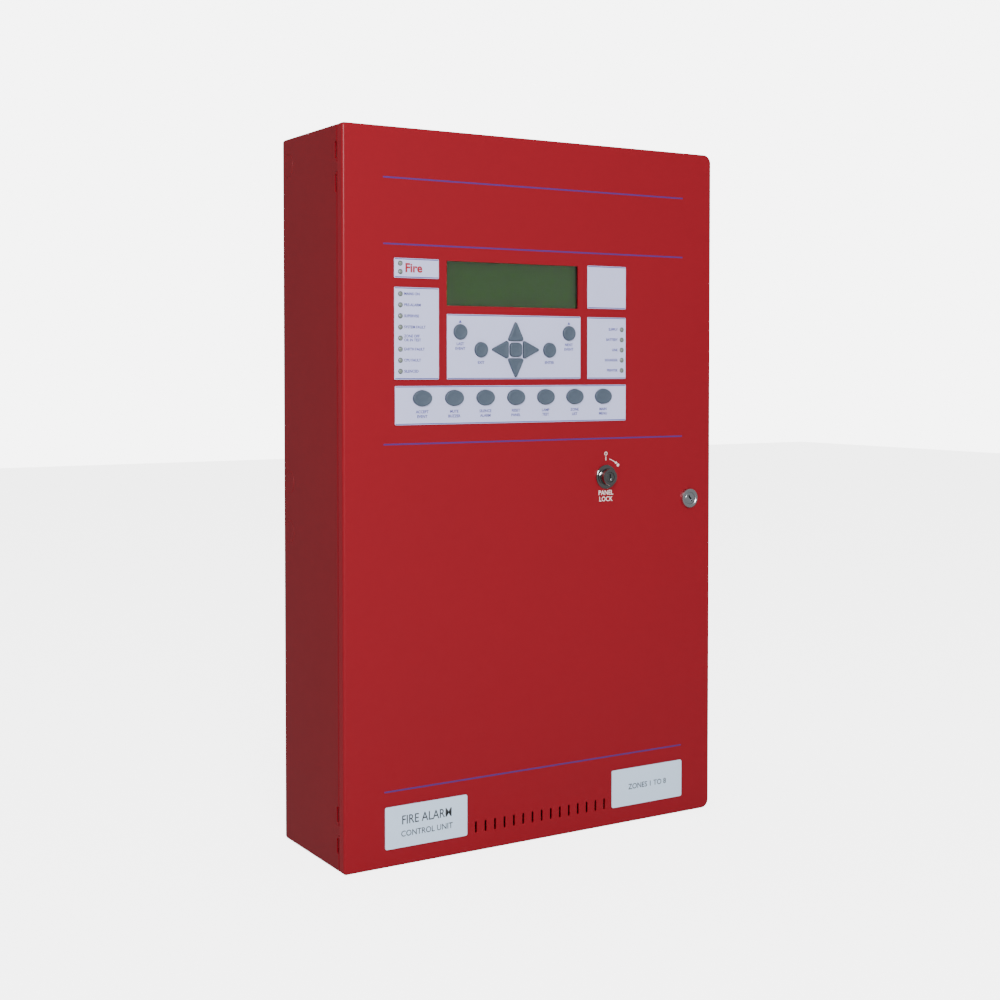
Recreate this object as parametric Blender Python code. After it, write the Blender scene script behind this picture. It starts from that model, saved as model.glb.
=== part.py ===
"""A wall-mounted fire alarm control panel: a sheet-steel cabinet with a hinged door that carries
the display, keys, lamps, labels, key switch and lock, and the boards, supply and batteries inside."""

import math

import bmesh
import bpy
from mathutils import Vector

# Driving dimensions, in metres. X runs right, Y towards the wall and Z up.
# The origin is the centre of the face that lies against the wall.
WIDTH = 0.434
HEIGHT = 0.700
DEPTH = 0.145
SHEET = 0.0015
AIR = 0.0003  # gap kept between pieces that touch on the real panel

DOOR_FRONT = -DEPTH
DOOR_BACK = DOOR_FRONT + SHEET
DOOR_RIM = DOOR_FRONT + 0.010
DOOR_BEND = 0.0025
HINGE_CORNER = 0.003
FREE_CORNER = 0.0085

BOX_SET_IN = 0.0003
BOX_FRONT = DOOR_RIM + 0.0008
BOX_LIP = 0.012
BOX_REAR_ROUND = 0.011
BOX_FOLD = 0.0032
BOX_HALF = WIDTH / 2 - BOX_SET_IN
BOX_HALF_UP = HEIGHT / 2 - BOX_SET_IN
WALL_INNER = BOX_HALF - SHEET
FLOOR_INNER = BOX_HALF_UP - SHEET

HINGE_X = -(WALL_INNER - 0.0045)
HINGE_Y = -0.125
HINGE_Z = 0.310
PIN_RADIUS = 0.0025
PIN_HOLE = 0.0028
KNUCKLE_RADIUS = 0.004
ARM_HALF_HEIGHT = 0.0155
NOTCH_HALF_HEIGHT = 0.026

LABEL_BACK = DOOR_FRONT - AIR
LABEL_FRONT = LABEL_BACK - 0.0006
PLATE_FRONT = LABEL_BACK - 0.001
LAMP_RADIUS = 0.0022
LAMP_HOLE = 0.0025
LAMP_PITCH = 0.01045

KEY_GAP = 0.0003
KEY_FLANGE = 0.0006
KEY_FRONT = LABEL_FRONT - 0.0024
KEY_STEM_INSET = 0.0035
KEY_STEM_END = DOOR_FRONT + 0.0085
FUNCTION_KEYS = 7
FUNCTION_PITCH = 0.035
FUNCTION_HALF = (0.010, 0.0075)
ROUND_KEY_RADIUS = 0.00725
CENTRE_KEY_HALF = 0.00675
ARROW_BASE = 0.0087
ARROW_TIP = 0.0283
ARROW_HALF_WIDTH = 0.0094

BOARD_FRONT = DOOR_FRONT + 0.0115
BOARD_THICK = 0.0016

LOCK_PLACE = (0.405, 0.3355)
LOCK_BARREL = 0.0095
LOCK_PLUG = 0.006
LOCK_REAR = -0.126
CAM_LENGTH = 0.022
SWITCH_PLACE = (0.2972, 0.362)
SWITCH_BASE = 0.01225
SWITCH_NOSE = 0.00875
SWITCH_PROUD = 0.0085
SWITCH_PLUG = 0.005

BATTERY_SIZE = (0.181, 0.076, 0.167)
CHASSIS_FRONT = -0.020
KEYHOLE_X = 0.165
KEYHOLE_TOP = 0.322
KEYHOLE_LOW = -0.164


def across(distance):
    """World X of a place measured from the door's left edge."""
    return distance - WIDTH / 2


def up(distance):
    """World Z of a place measured from the door's lower edge."""
    return distance - HEIGHT / 2


def clear_scene():
    for obj in list(bpy.data.objects):
        bpy.data.objects.remove(obj, do_unlink=True)


def material(name, colour, roughness=0.5, metallic=0.0, alpha=1.0):
    made = bpy.data.materials.new(name)
    made.use_nodes = True
    shader = made.node_tree.nodes["Principled BSDF"]
    shader.inputs["Base Color"].default_value = (*colour, 1.0)
    shader.inputs["Roughness"].default_value = roughness
    shader.inputs["Metallic"].default_value = metallic
    shader.inputs["Alpha"].default_value = alpha
    return made


def finish_object(name, mesh, paint, smooth=False):
    obj = bpy.data.objects.new(name, mesh)
    bpy.context.scene.collection.objects.link(obj)
    if paint:
        mesh.materials.append(paint)
    if smooth:
        mesh.shade_smooth()
        mesh.set_sharp_from_angle(angle=math.radians(35))
    return obj


def add_loft(bm, rings):
    """One closed body through rings of points, with flat ends."""
    loops = [[bm.verts.new(point) for point in ring] for ring in rings]
    count = len(loops[0])
    for first, second in zip(loops, loops[1:]):
        for i in range(count):
            j = (i + 1) % count
            bm.faces.new((first[i], first[j], second[j], second[i]))
    bm.faces.new(reversed(loops[0]))
    bm.faces.new(loops[-1])


def loft_object(name, bodies, paint=None, smooth=False):
    """An object holding one closed body for each list of rings."""
    bm = bmesh.new()
    for rings in bodies:
        add_loft(bm, rings)
    bmesh.ops.recalc_face_normals(bm, faces=bm.faces)
    mesh = bpy.data.meshes.new(name)
    bm.to_mesh(mesh)
    bm.free()
    return finish_object(name, mesh, paint, smooth)


def box_rings(low, high):
    corners = ((low[0], low[2]), (high[0], low[2]), (high[0], high[2]), (low[0], high[2]))
    return [[(x, y, z) for x, z in corners] for y in (low[1], high[1])]


def box(name, low, high, paint=None):
    return loft_object(name, [box_rings(low, high)], paint)


def facing(outline, depth):
    """An outline drawn on the door's plane, as points at one depth."""
    return [(x, depth, z) for x, z in outline]


def standing(outline, height):
    """An outline drawn on the floor's plane, as points at one height."""
    return [(x, y, height) for x, y in outline]


def arc(centre, radius, start, end, steps):
    turn = (end - start) / steps
    return [
        (centre[0] + radius * math.cos(start + i * turn), centre[1] + radius * math.sin(start + i * turn))
        for i in range(steps + 1)
    ]


def ellipse(centre, half_across, half_up, count):
    return [
        (
            centre[0] + half_across * math.cos(2 * math.pi * i / count),
            centre[1] + half_up * math.sin(2 * math.pi * i / count),
        )
        for i in range(count)
    ]


def circle(centre, radius, count=24):
    return ellipse(centre, radius, radius, count)


def rounded_rectangle(low, high, radii, steps=3):
    """Corner radii run from the lower left, anticlockwise."""
    signs = ((1, 1), (-1, 1), (-1, -1), (1, -1))
    corners = (low, (high[0], low[1]), high, (low[0], high[1]))
    points = []
    for i, (corner, sign, radius) in enumerate(zip(corners, signs, radii)):
        centre = (corner[0] + sign[0] * radius, corner[1] + sign[1] * radius)
        start = math.pi + i * math.pi / 2
        points += arc(centre, radius, start, start + math.pi / 2, steps)
    return points


def rounded_polygon(corners, radius, steps=4):
    """An outline with each corner of a convex polygon rounded by the same radius."""
    points = []
    count = len(corners)
    for i in range(count):
        corner = Vector(corners[i])
        before = (Vector(corners[i - 1]) - corner).normalized()
        after = (Vector(corners[(i + 1) % count]) - corner).normalized()
        half = before.angle(after) / 2
        centre = corner + (before + after).normalized() * radius / math.sin(half)
        first = corner + before * radius / math.tan(half) - centre
        sweep = math.pi - 2 * half
        start = math.atan2(first.y, first.x)
        points += arc(centre, radius, start, start + sweep, steps)
    return points


def upright_slot(centre, half_width, half_height, steps=4):
    """A slot with round ends, standing upright."""
    reach = half_height - half_width
    top = arc((centre[0], centre[1] + reach), half_width, 0, math.pi, steps)
    low = arc((centre[0], centre[1] - reach), half_width, math.pi, 2 * math.pi, steps)
    return top + low


def thick_path(points, thickness):
    """The outline of a strip of even thickness along a bent path."""
    path = [Vector(point) for point in points]
    steps = [(after - before).normalized() for before, after in zip(path, path[1:])]
    left, right = [], []
    for i, point in enumerate(path):
        before = steps[max(i - 1, 0)]
        after = steps[min(i, len(steps) - 1)]
        normal = Vector((-before.y - after.y, before.x + after.x)).normalized()
        reach = thickness / 2 / max(normal.dot(Vector((-after.y, after.x))), 0.3)
        left.append(tuple(point + normal * reach))
        right.append(tuple(point - normal * reach))
    return left + right[::-1]


def boolean(target, tool, operation):
    tool.hide_render = True
    tool.display_type = "WIRE"
    made = target.modifiers.new(tool.name, "BOOLEAN")
    made.operation = operation
    made.solver = "EXACT"
    made.object = tool


def cut_prisms(target, name, outlines, front, back):
    bodies = [[facing(outline, front), facing(outline, back)] for outline in outlines]
    boolean(target, loft_object(name, bodies), "DIFFERENCE")


def smooth_route(points, spacing):
    """Evenly spaced points on a smooth curve through a route's own points."""
    route = [Vector(point) for point in points]
    padded = [2 * route[0] - route[1], *route, 2 * route[-1] - route[-2]]
    fine = []
    for a, b, c, d in zip(padded, padded[1:], padded[2:], padded[3:]):
        for i in range(16):
            t = i / 16
            fine.append(
                0.5
                * (
                    2 * b
                    + (c - a) * t
                    + (2 * a - 5 * b + 4 * c - d) * t**2
                    + (3 * b - a - 3 * c + d) * t**3
                )
            )
    fine.append(route[-1])
    lengths = [(after - before).length for before, after in zip(fine, fine[1:])]
    count = max(2, round(sum(lengths) / spacing))
    step = sum(lengths) / count
    made = [fine[0]]
    travelled = 0.0
    for before, after, length in zip(fine, fine[1:], lengths):
        while len(made) < count and travelled + length >= step * len(made):
            made.append(before.lerp(after, (step * len(made) - travelled) / length))
        travelled += length
    return made + [fine[-1]]


def lead(name, points, radius, paint):
    """A round cable along a route, with flat ends."""
    curve = bpy.data.curves.new(name, "CURVE")
    curve.dimensions = "3D"
    curve.bevel_depth = radius
    curve.bevel_resolution = 2
    curve.use_fill_caps = True
    route = smooth_route(points, radius * 5)
    spline = curve.splines.new("POLY")
    spline.points.add(len(route) - 1)
    for point, place in zip(spline.points, route):
        point.co = (*place, 1.0)
    curve.materials.append(paint)
    obj = bpy.data.objects.new(name, curve)
    bpy.context.scene.collection.objects.link(obj)
    return obj


def rehome(obj, origin):
    """Moves an object's origin to a place and leaves its shape where it is."""
    shift = Vector(origin)
    for vertex in obj.data.vertices:
        vertex.co -= shift
    obj.location = shift


def hang_on(parent, pieces):
    for piece in pieces:
        piece.parent = parent
        piece.matrix_parent_inverse.identity()
        piece.location = piece.location - parent.location
        for made in piece.modifiers:
            made.object.parent = parent
            made.object.location = made.object.location - parent.location


def pan_outline(inset):
    """The door's outline, drawn in by a distance all round."""
    low = (-WIDTH / 2 + inset, -HEIGHT / 2 + inset)
    high = (WIDTH / 2 - inset, HEIGHT / 2 - inset)
    hinge = max(HINGE_CORNER - inset, 0.0005)
    free = max(FREE_CORNER - inset, 0.0005)
    return rounded_rectangle(low, high, (hinge, free, free, hinge))


def box_outline(inset):
    """The cabinet's outline, drawn in by a distance all round."""
    low = (-BOX_HALF + inset, -BOX_HALF_UP + inset)
    high = (BOX_HALF - inset, BOX_HALF_UP - inset)
    hinge = max(0.002 - inset, 0.0004)
    free = max(FREE_CORNER - BOX_SET_IN - inset, 0.0004)
    return rounded_rectangle(low, high, (hinge, free, free, hinge))


def quarter_sections(radius, steps, inset, depth):
    """(inset, depth) pairs round a bend, from the flat face out to the side."""
    return [
        (
            inset + radius * (1 - math.sin(i * math.pi / 2 / steps)),
            depth - radius * (1 - math.cos(i * math.pi / 2 / steps)),
        )
        for i in range(steps + 1)
    ]


def fold_sections(radius, steps, inset, depth):
    """(inset, depth) pairs round a fold, from the side in to the flat front lip."""
    return [
        (
            inset + radius * (1 - math.cos(i * math.pi / 2 / steps)),
            depth + radius * (1 - math.sin(i * math.pi / 2 / steps)),
        )
        for i in range(steps + 1)
    ]


def make_back_box(paint):
    """The folded box, with hinge notches in its lip, side slots and keyholes.

    The fold between the sides and the lip lets the door's rims swing past the hinge side.
    """
    sections = quarter_sections(BOX_REAR_ROUND, 5, 0, 0)
    sections += fold_sections(BOX_FOLD, 4, 0, BOX_FRONT)
    sections += [(BOX_LIP, BOX_FRONT), (BOX_LIP, BOX_FRONT + SHEET)]
    sections += reversed(fold_sections(BOX_FOLD - SHEET, 4, SHEET, BOX_FRONT + SHEET))
    sections += reversed(quarter_sections(BOX_REAR_ROUND - SHEET, 5, SHEET, -SHEET))
    obj = loft_object("back_box", [[facing(box_outline(inset), y) for inset, y in sections]], paint, True)
    notches = [
        box_rings(
            (-WALL_INNER + AIR, BOX_FRONT - 0.001, side * HINGE_Z - NOTCH_HALF_HEIGHT),
            (-WALL_INNER + BOX_LIP, BOX_FRONT + BOX_FOLD + 0.0003, side * HINGE_Z + NOTCH_HALF_HEIGHT),
        )
        for side in (-1, 1)
    ]
    boolean(obj, loft_object("hinge_notch_cutter", notches), "DIFFERENCE")
    boolean(obj, loft_object("side_slot_cutter", side_slots()), "DIFFERENCE")
    keyholes = [
        rings
        for x in (-KEYHOLE_X, KEYHOLE_X)
        for z in (KEYHOLE_TOP, KEYHOLE_LOW)
        for rings in [keyhole((x, z))]
    ]
    boolean(obj, loft_object("keyhole_cutter", keyholes), "DIFFERENCE")
    return obj


def side_slots():
    """The slots in the left side beside each hinge, which the hinge brackets hook into."""
    middle = DOOR_FRONT + 0.0146
    slots = []
    for low, high in ((0.0172, 0.0323), (0.0469, 0.0621), (0.6364, 0.6536), (0.6677, 0.684)):
        outline = upright_slot((middle, up((low + high) / 2)), 0.0018, (high - low) / 2)
        slots.append([[(x, y, z) for y, z in outline] for x in (-BOX_HALF - 0.002, -WALL_INNER + 0.002)])
    return slots


def keyhole(centre):
    """A round hole with a narrower slot above it, right through the back."""
    lower = arc(centre, 0.0055, math.radians(120), math.radians(420), 12)
    slot_top = arc((centre[0], centre[1] + 0.011), 0.00275, 0, math.pi, 4)
    outline = lower + slot_top
    return [facing(outline, -SHEET - 0.002), facing(outline, 0.002)]


def make_hinge(side, steel, zinc):
    """The bracket, pin and gooseneck arm of one hinge."""
    word = "upper" if side > 0 else "lower"
    middle = side * HINGE_Z
    plate_x = -WALL_INNER + AIR
    bracket = box(
        f"{word}_hinge_bracket",
        (plate_x, HINGE_Y + 0.0055, middle - 0.020),
        (plate_x + 0.0015, HINGE_Y + 0.030, middle + 0.020),
        steel,
    )
    ears = [
        box_rings(
            (plate_x, HINGE_Y - 0.0045, middle + end - 0.001),
            (HINGE_X + 0.0045, HINGE_Y + 0.0295, middle + end + 0.001),
        )
        for end in (-0.017, 0.017)
    ]
    boolean(bracket, loft_object(f"{word}_bracket_ears", ears), "UNION")
    bore = circle((HINGE_X, HINGE_Y), PIN_HOLE)
    heights = (middle - 0.030, middle + 0.030)
    bore_tool = loft_object(f"{word}_bracket_bore", [[standing(bore, z) for z in heights]])
    boolean(bracket, bore_tool, "DIFFERENCE")

    head = middle + 0.0183
    pin_rings = [(PIN_RADIUS, middle - 0.0195), (PIN_RADIUS, head), (0.0036, head), (0.0036, head + 0.0014)]
    pin = loft_object(
        f"{word}_hinge_pin",
        [[standing(circle((HINGE_X, HINGE_Y), radius, 20), z) for radius, z in pin_rings]],
        zinc,
        True,
    )

    path = ((0, 0), (0.010, 0.005), (0.019, 0.005), (0.0205, -0.0172), (0.042, -0.0172))
    strip = thick_path([(HINGE_X + x, HINGE_Y + y) for x, y in path], 0.002)
    heights = (middle - ARM_HALF_HEIGHT, middle + ARM_HALF_HEIGHT)
    arm = loft_object(f"{word}_hinge_arm", [[standing(strip, z) for z in heights]], steel)
    knuckle = circle((HINGE_X, HINGE_Y), KNUCKLE_RADIUS)
    boolean(arm, loft_object(f"{word}_arm_knuckle", [[standing(knuckle, z) for z in heights]]), "UNION")
    boolean(
        arm,
        loft_object(
            f"{word}_arm_bore", [[standing(bore, z) for z in (heights[0] - 0.002, heights[1] + 0.002)]]
        ),
        "DIFFERENCE",
    )
    return bracket, pin, arm


def arrow_outline(centre, turns, grow):
    """A triangle that points away from the centre key, with its sides moved out by grow."""
    corners = [
        Vector((-ARROW_HALF_WIDTH, ARROW_BASE)),
        Vector((ARROW_HALF_WIDTH, ARROW_BASE)),
        Vector((0, ARROW_TIP)),
    ]
    slant = math.hypot(ARROW_HALF_WIDTH, ARROW_TIP - ARROW_BASE)
    inradius = ARROW_HALF_WIDTH * (ARROW_TIP - ARROW_BASE) / (ARROW_HALF_WIDTH + slant)
    middle = Vector((0, ARROW_BASE + inradius))
    scale = (inradius + grow) / inradius
    placed = []
    for corner in corners:
        moved = middle + (corner - middle) * scale
        turned = Vector((moved.x, moved.y))
        for _ in range(turns):
            turned = Vector((-turned.y, turned.x))
        placed.append((centre[0] + turned.x, centre[1] + turned.y))
    return rounded_polygon(placed, 0.0018 * scale, 3)


def key_outlines():
    """Each key's name, centre and outline maker, which takes the distance to grow by."""
    keys = {}
    for i in range(FUNCTION_KEYS):
        centre = (across(0.0828 + i * FUNCTION_PITCH), up(0.4447))
        keys[f"function_button_{i + 1}"] = (
            centre,
            lambda grow, c=centre: ellipse(c, FUNCTION_HALF[0] + grow, FUNCTION_HALF[1] + grow, 20),
        )
    round_keys = {
        "upper_left_button": (0.1245, 0.5083),
        "upper_right_button": (0.2506, 0.5083),
        "exit_button": (0.1478, 0.4913),
        "enter_button": (0.2272, 0.4913),
    }
    for name, place in round_keys.items():
        centre = (across(place[0]), up(place[1]))
        keys[name] = (centre, lambda grow, c=centre: circle(c, ROUND_KEY_RADIUS + grow, 16))
    middle = (across(0.1873), up(0.4915))
    keys["centre_button"] = (middle, lambda grow, c=middle: centre_key_outline(c, grow))
    arrows = ("arrow_up_button", "arrow_left_button", "arrow_down_button", "arrow_right_button")
    for turns, name in enumerate(arrows):
        keys[name] = (middle, lambda grow, c=middle, t=turns: arrow_outline(c, t, grow))
    return keys


def centre_key_outline(centre, grow):
    half = CENTRE_KEY_HALF + grow
    radius = max(0.0035 + grow, 0.001)
    low = (centre[0] - half, centre[1] - half)
    high = (centre[0] + half, centre[1] + half)
    return rounded_rectangle(low, high, (radius,) * 4)


def make_key(name, centre, outline, paint):
    """A rubber key: a domed cap, a collar that keeps it behind the door, and a stem."""
    collar = DOOR_BACK + AIR
    sections = (
        (-0.0011, KEY_FRONT),
        (0, KEY_FRONT + 0.0008),
        (0, collar),
        (KEY_FLANGE, collar),
        (KEY_FLANGE, collar + 0.0008),
        (-KEY_STEM_INSET, collar + 0.0008),
        (-KEY_STEM_INSET, KEY_STEM_END),
    )
    obj = loft_object(name, [[facing(outline(grow), y) for grow, y in sections]], paint, True)
    rehome(obj, (centre[0], DOOR_FRONT, centre[1]))
    return obj


def lamp_places():
    """Centres of the lamps in each group."""
    left = across(0.0596)
    return {
        "fire_lamps": [(left, up(0.572)), (left, up(0.5641))],
        "status_lamps": [(left, up(0.5434) - i * LAMP_PITCH) for i in range(8)],
        "trouble_lamps": [(across(0.3162), up(0.5128) - i * LAMP_PITCH) for i in range(5)],
    }


def make_lamps(name, places, paint):
    """A moulded lamp bar that stands on the display board, with a dome for each lamp."""
    x = places[0][0]
    bar = box(
        name,
        (x - 0.0035, DOOR_BACK + AIR, places[-1][1] - 0.0035),
        (x + 0.0035, BOARD_FRONT - AIR, places[0][1] + 0.0035),
        paint,
    )
    depths = (
        (LAMP_RADIUS, DOOR_BACK + 0.002),
        (LAMP_RADIUS, LABEL_FRONT - 0.0004),
        (0.0012, LABEL_FRONT - 0.0011),
    )
    domes = [[facing(circle(place, radius, 12), y) for radius, y in depths] for place in places]
    boolean(bar, loft_object(f"{name}_domes", domes), "UNION")
    return bar


def make_label(name, low, high, paint, holes=(), front=LABEL_FRONT, corner=0.0008):
    outline = rounded_rectangle(
        (across(low[0]), up(low[1])), (across(high[0]), up(high[1])), (corner,) * 4, 2
    )
    obj = loft_object(name, [[facing(outline, front), facing(outline, LABEL_BACK)]], paint)
    if holes:
        cut_prisms(obj, f"{name}_cutter", holes, front - 0.001, LABEL_BACK + 0.0001)
    return obj


def make_labels(white, grey, keys, lamps):
    """The printed sheets round the display and keys, and the two plates at the door's foot."""
    holes = {name: outline(KEY_GAP) for name, (_, outline) in keys.items()}
    function = [hole for name, hole in holes.items() if name.startswith("function")]
    navigation = [hole for name, hole in holes.items() if not name.startswith("function")]
    lamp_holes = {
        name: [circle(place, LAMP_HOLE, 12) for place in places] for name, places in lamps.items()
    }
    return [
        make_label("fire_label", (0.0532, 0.5584), (0.101, 0.577), white, lamp_holes["fire_lamps"]),
        make_label("status_label", (0.0532, 0.4625), (0.101, 0.5497), white, lamp_holes["status_lamps"]),
        make_label("message_label", (0.2735, 0.5339), (0.3212, 0.5773), white),
        make_label("trouble_label", (0.2735, 0.4624), (0.3212, 0.5251), white, lamp_holes["trouble_lamps"]),
        make_label("navigation_label", (0.110, 0.4626), (0.2648, 0.5253), white, navigation),
        make_label("function_label", (0.0538, 0.4195), (0.3214, 0.4564), white, function),
        make_label("name_plate", (0.0424, 0.0175), (0.132, 0.058), grey, (), PLATE_FRONT, 0.002),
        make_label("info_plate", (0.305, 0.018), (0.3957, 0.057), grey, (), PLATE_FRONT, 0.002),
    ]


def make_door_panel(paint, keys, lamps):
    """The folded door pan with every hole that its keys, lamps, display, lock and air need."""
    bend = [(inset, 2 * DOOR_FRONT - y) for inset, y in quarter_sections(DOOR_BEND, 3, 0, DOOR_FRONT)]
    sections = bend + [(0, DOOR_RIM), (SHEET, DOOR_RIM), (SHEET, DOOR_BACK)]
    obj = loft_object("door_panel", [[facing(pan_outline(inset), y) for inset, y in sections]], paint, True)
    key_holes = [outline(KEY_GAP) for _, outline in keys.values()]
    lamp_holes = [circle(place, LAMP_HOLE, 12) for places in lamps.values() for place in places]
    display = rounded_rectangle((across(0.1102), up(0.5333)), (across(0.2624), up(0.5762)), (0.001,) * 4, 2)
    lock = circle((across(LOCK_PLACE[0]), up(LOCK_PLACE[1])), LOCK_BARREL + AIR)
    switch = circle((across(SWITCH_PLACE[0]), up(SWITCH_PLACE[1])), 0.008 + AIR)
    vents = [
        upright_slot((across(0.1425 + i * 0.01097), up(0.02385)), 0.00115, 0.00565, 3)
        for i in range(15)
    ]
    holes = key_holes + lamp_holes + [display, lock, switch] + vents
    cut_prisms(obj, "door_cutter", holes, DOOR_FRONT - 0.001, DOOR_BACK + 0.001)
    return obj


def make_display(board_green, lcd_green, clear, black):
    """The display board and what stands on it behind the door."""
    board = box(
        "display_board",
        (across(0.048), BOARD_FRONT, up(0.412)),
        (across(0.326), BOARD_FRONT + BOARD_THICK, up(0.585)),
        board_green,
    )
    module = box(
        "lcd_module",
        (across(0.0985), DOOR_FRONT + 0.0055, up(0.5235)),
        (across(0.2735), BOARD_FRONT - AIR, up(0.5835)),
        lcd_green,
    )
    window = box(
        "lcd_window",
        (across(0.1045), DOOR_BACK + AIR, up(0.5275)),
        (across(0.268), DOOR_BACK + AIR + 0.0015, up(0.582)),
        clear,
    )
    centre = (across(0.287), up(0.493))
    rings = [(0.0095, BOARD_FRONT - AIR), (0.0095, BOARD_FRONT - 0.006), (0.0085, BOARD_FRONT - 0.0068)]
    sounder = loft_object("sounder", [[facing(circle(centre, r), y) for r, y in rings]], black, True)
    return [board, module, window, sounder]


def turned(name, centre, rings, paint, count=24):
    """A body turned about an axis that runs front to back."""
    return loft_object(name, [[facing(circle(centre, r, count), y) for r, y in rings]], paint, True)


def tilted_slot(centre, half_width, half_height, lean):
    corners = (
        (-half_width, -half_height),
        (half_width, -half_height),
        (half_width, half_height),
        (-half_width, half_height),
    )
    cosine, sine = math.cos(lean), math.sin(lean)
    return [(centre[0] + x * cosine + z * sine, centre[1] - x * sine + z * cosine) for x, z in corners]


def make_lock(chrome, zinc):
    """The cam lock: body, plug and cam."""
    centre = (across(LOCK_PLACE[0]), up(LOCK_PLACE[1]))
    face = DOOR_FRONT - 0.003
    rings = (
        (0.0094, face),
        (0.01025, face + 0.0009),
        (0.01025, LABEL_BACK),
        (LOCK_BARREL, LABEL_BACK),
        (LOCK_BARREL, LOCK_REAR),
    )
    body = turned("lock_body", centre, rings, chrome)
    cut_prisms(body, "lock_bore", [circle(centre, LOCK_PLUG + AIR)], face - 0.001, LOCK_REAR + 0.001)
    plug_rings = ((LOCK_PLUG, face + 0.0003), (LOCK_PLUG, LOCK_REAR + 0.0002))
    plug = turned("lock_plug", centre, plug_rings, chrome)
    slot = tilted_slot(centre, 0.0008, 0.0036, math.radians(20))
    cut_prisms(plug, "lock_keyway", [slot], face - 0.001, face + 0.006)
    outline = rounded_rectangle(
        (centre[0] - 0.0055, centre[1] - CAM_LENGTH),
        (centre[0] + 0.0055, centre[1] + 0.0065),
        (0.002, 0.002, 0.004, 0.004),
    )
    cam_rings = [facing(outline, LOCK_REAR + 0.0005), facing(outline, LOCK_REAR + 0.0025)]
    cam = loft_object("lock_cam", [cam_rings], zinc)
    for piece in (plug, cam):
        move_with_tools(piece, (centre[0], DOOR_FRONT, centre[1]))
    return body, plug, cam


def make_key_switch(chrome):
    """The key switch: its tapered body and the plug that the key turns."""
    centre = (across(SWITCH_PLACE[0]), up(SWITCH_PLACE[1]))
    nose = DOOR_FRONT - SWITCH_PROUD
    rings = (
        (SWITCH_NOSE - 0.0008, nose),
        (SWITCH_NOSE, nose + 0.0008),
        (SWITCH_BASE, LABEL_BACK - 0.0015),
        (SWITCH_BASE, LABEL_BACK),
        (0.008, LABEL_BACK),
        (0.008, -0.118),
    )
    body = turned("key_switch_body", centre, rings, chrome)
    cut_prisms(body, "key_switch_bore", [circle(centre, SWITCH_PLUG + AIR)], nose - 0.001, -0.1215)
    plug = turned("key_switch_plug", centre, ((SWITCH_PLUG, nose + 0.0006), (SWITCH_PLUG, -0.122)), chrome)
    slot = tilted_slot(centre, 0.0008, 0.0034, 0)
    cut_prisms(plug, "key_switch_keyway", [slot], nose - 0.001, nose + 0.007)
    move_with_tools(plug, (centre[0], DOOR_FRONT, centre[1]))
    return body, plug


def move_with_tools(obj, origin):
    """Puts a piece's origin, and those of its cutters, on its joint's axis."""
    rehome(obj, origin)
    for made in obj.modifiers:
        rehome(made.object, origin)


def make_strike(zinc):
    """The bracket on the right wall that the lock's cam turns behind."""
    right = WALL_INNER - AIR
    outline = [
        (right, LOCK_REAR - 0.0015),
        (right, LOCK_REAR + 0.021),
        (right - 0.0014, LOCK_REAR + 0.021),
        (right - 0.0014, LOCK_REAR),
        (right - 0.0134, LOCK_REAR),
        (right - 0.0134, LOCK_REAR - 0.0015),
    ]
    middle = up(LOCK_PLACE[1])
    rings = [standing(outline, z) for z in (middle - 0.02, middle + 0.02)]
    return loft_object("lock_strike", [rings], zinc)


def make_battery(name, centre_x, paint):
    """A sealed battery with its two terminal tabs on top."""
    wide, deep, tall = BATTERY_SIZE
    back = -0.0115
    low = (centre_x - wide / 2, back - deep, -FLOOR_INNER + AIR)
    top = low[2] + tall
    outline = rounded_rectangle((low[0], low[1]), (low[0] + wide, back), (0.002,) * 4, 2)
    inner_low = (low[0] + 0.003, low[1] + 0.003)
    inner_high = (low[0] + wide - 0.003, back - 0.003)
    inner = rounded_rectangle(inner_low, inner_high, (0.001,) * 4, 2)
    rings = [standing(outline, low[2]), standing(outline, top - 0.003), standing(inner, top)]
    obj = loft_object(name, [rings], paint)
    tabs = [
        box_rings((x - 0.006, low[1] + 0.008, top - 0.002), (x + 0.006, low[1] + 0.018, top + 0.006))
        for x in (centre_x - 0.075, centre_x + 0.075)
    ]
    boolean(obj, loft_object(f"{name}_tabs", tabs), "UNION")
    return obj


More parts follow.
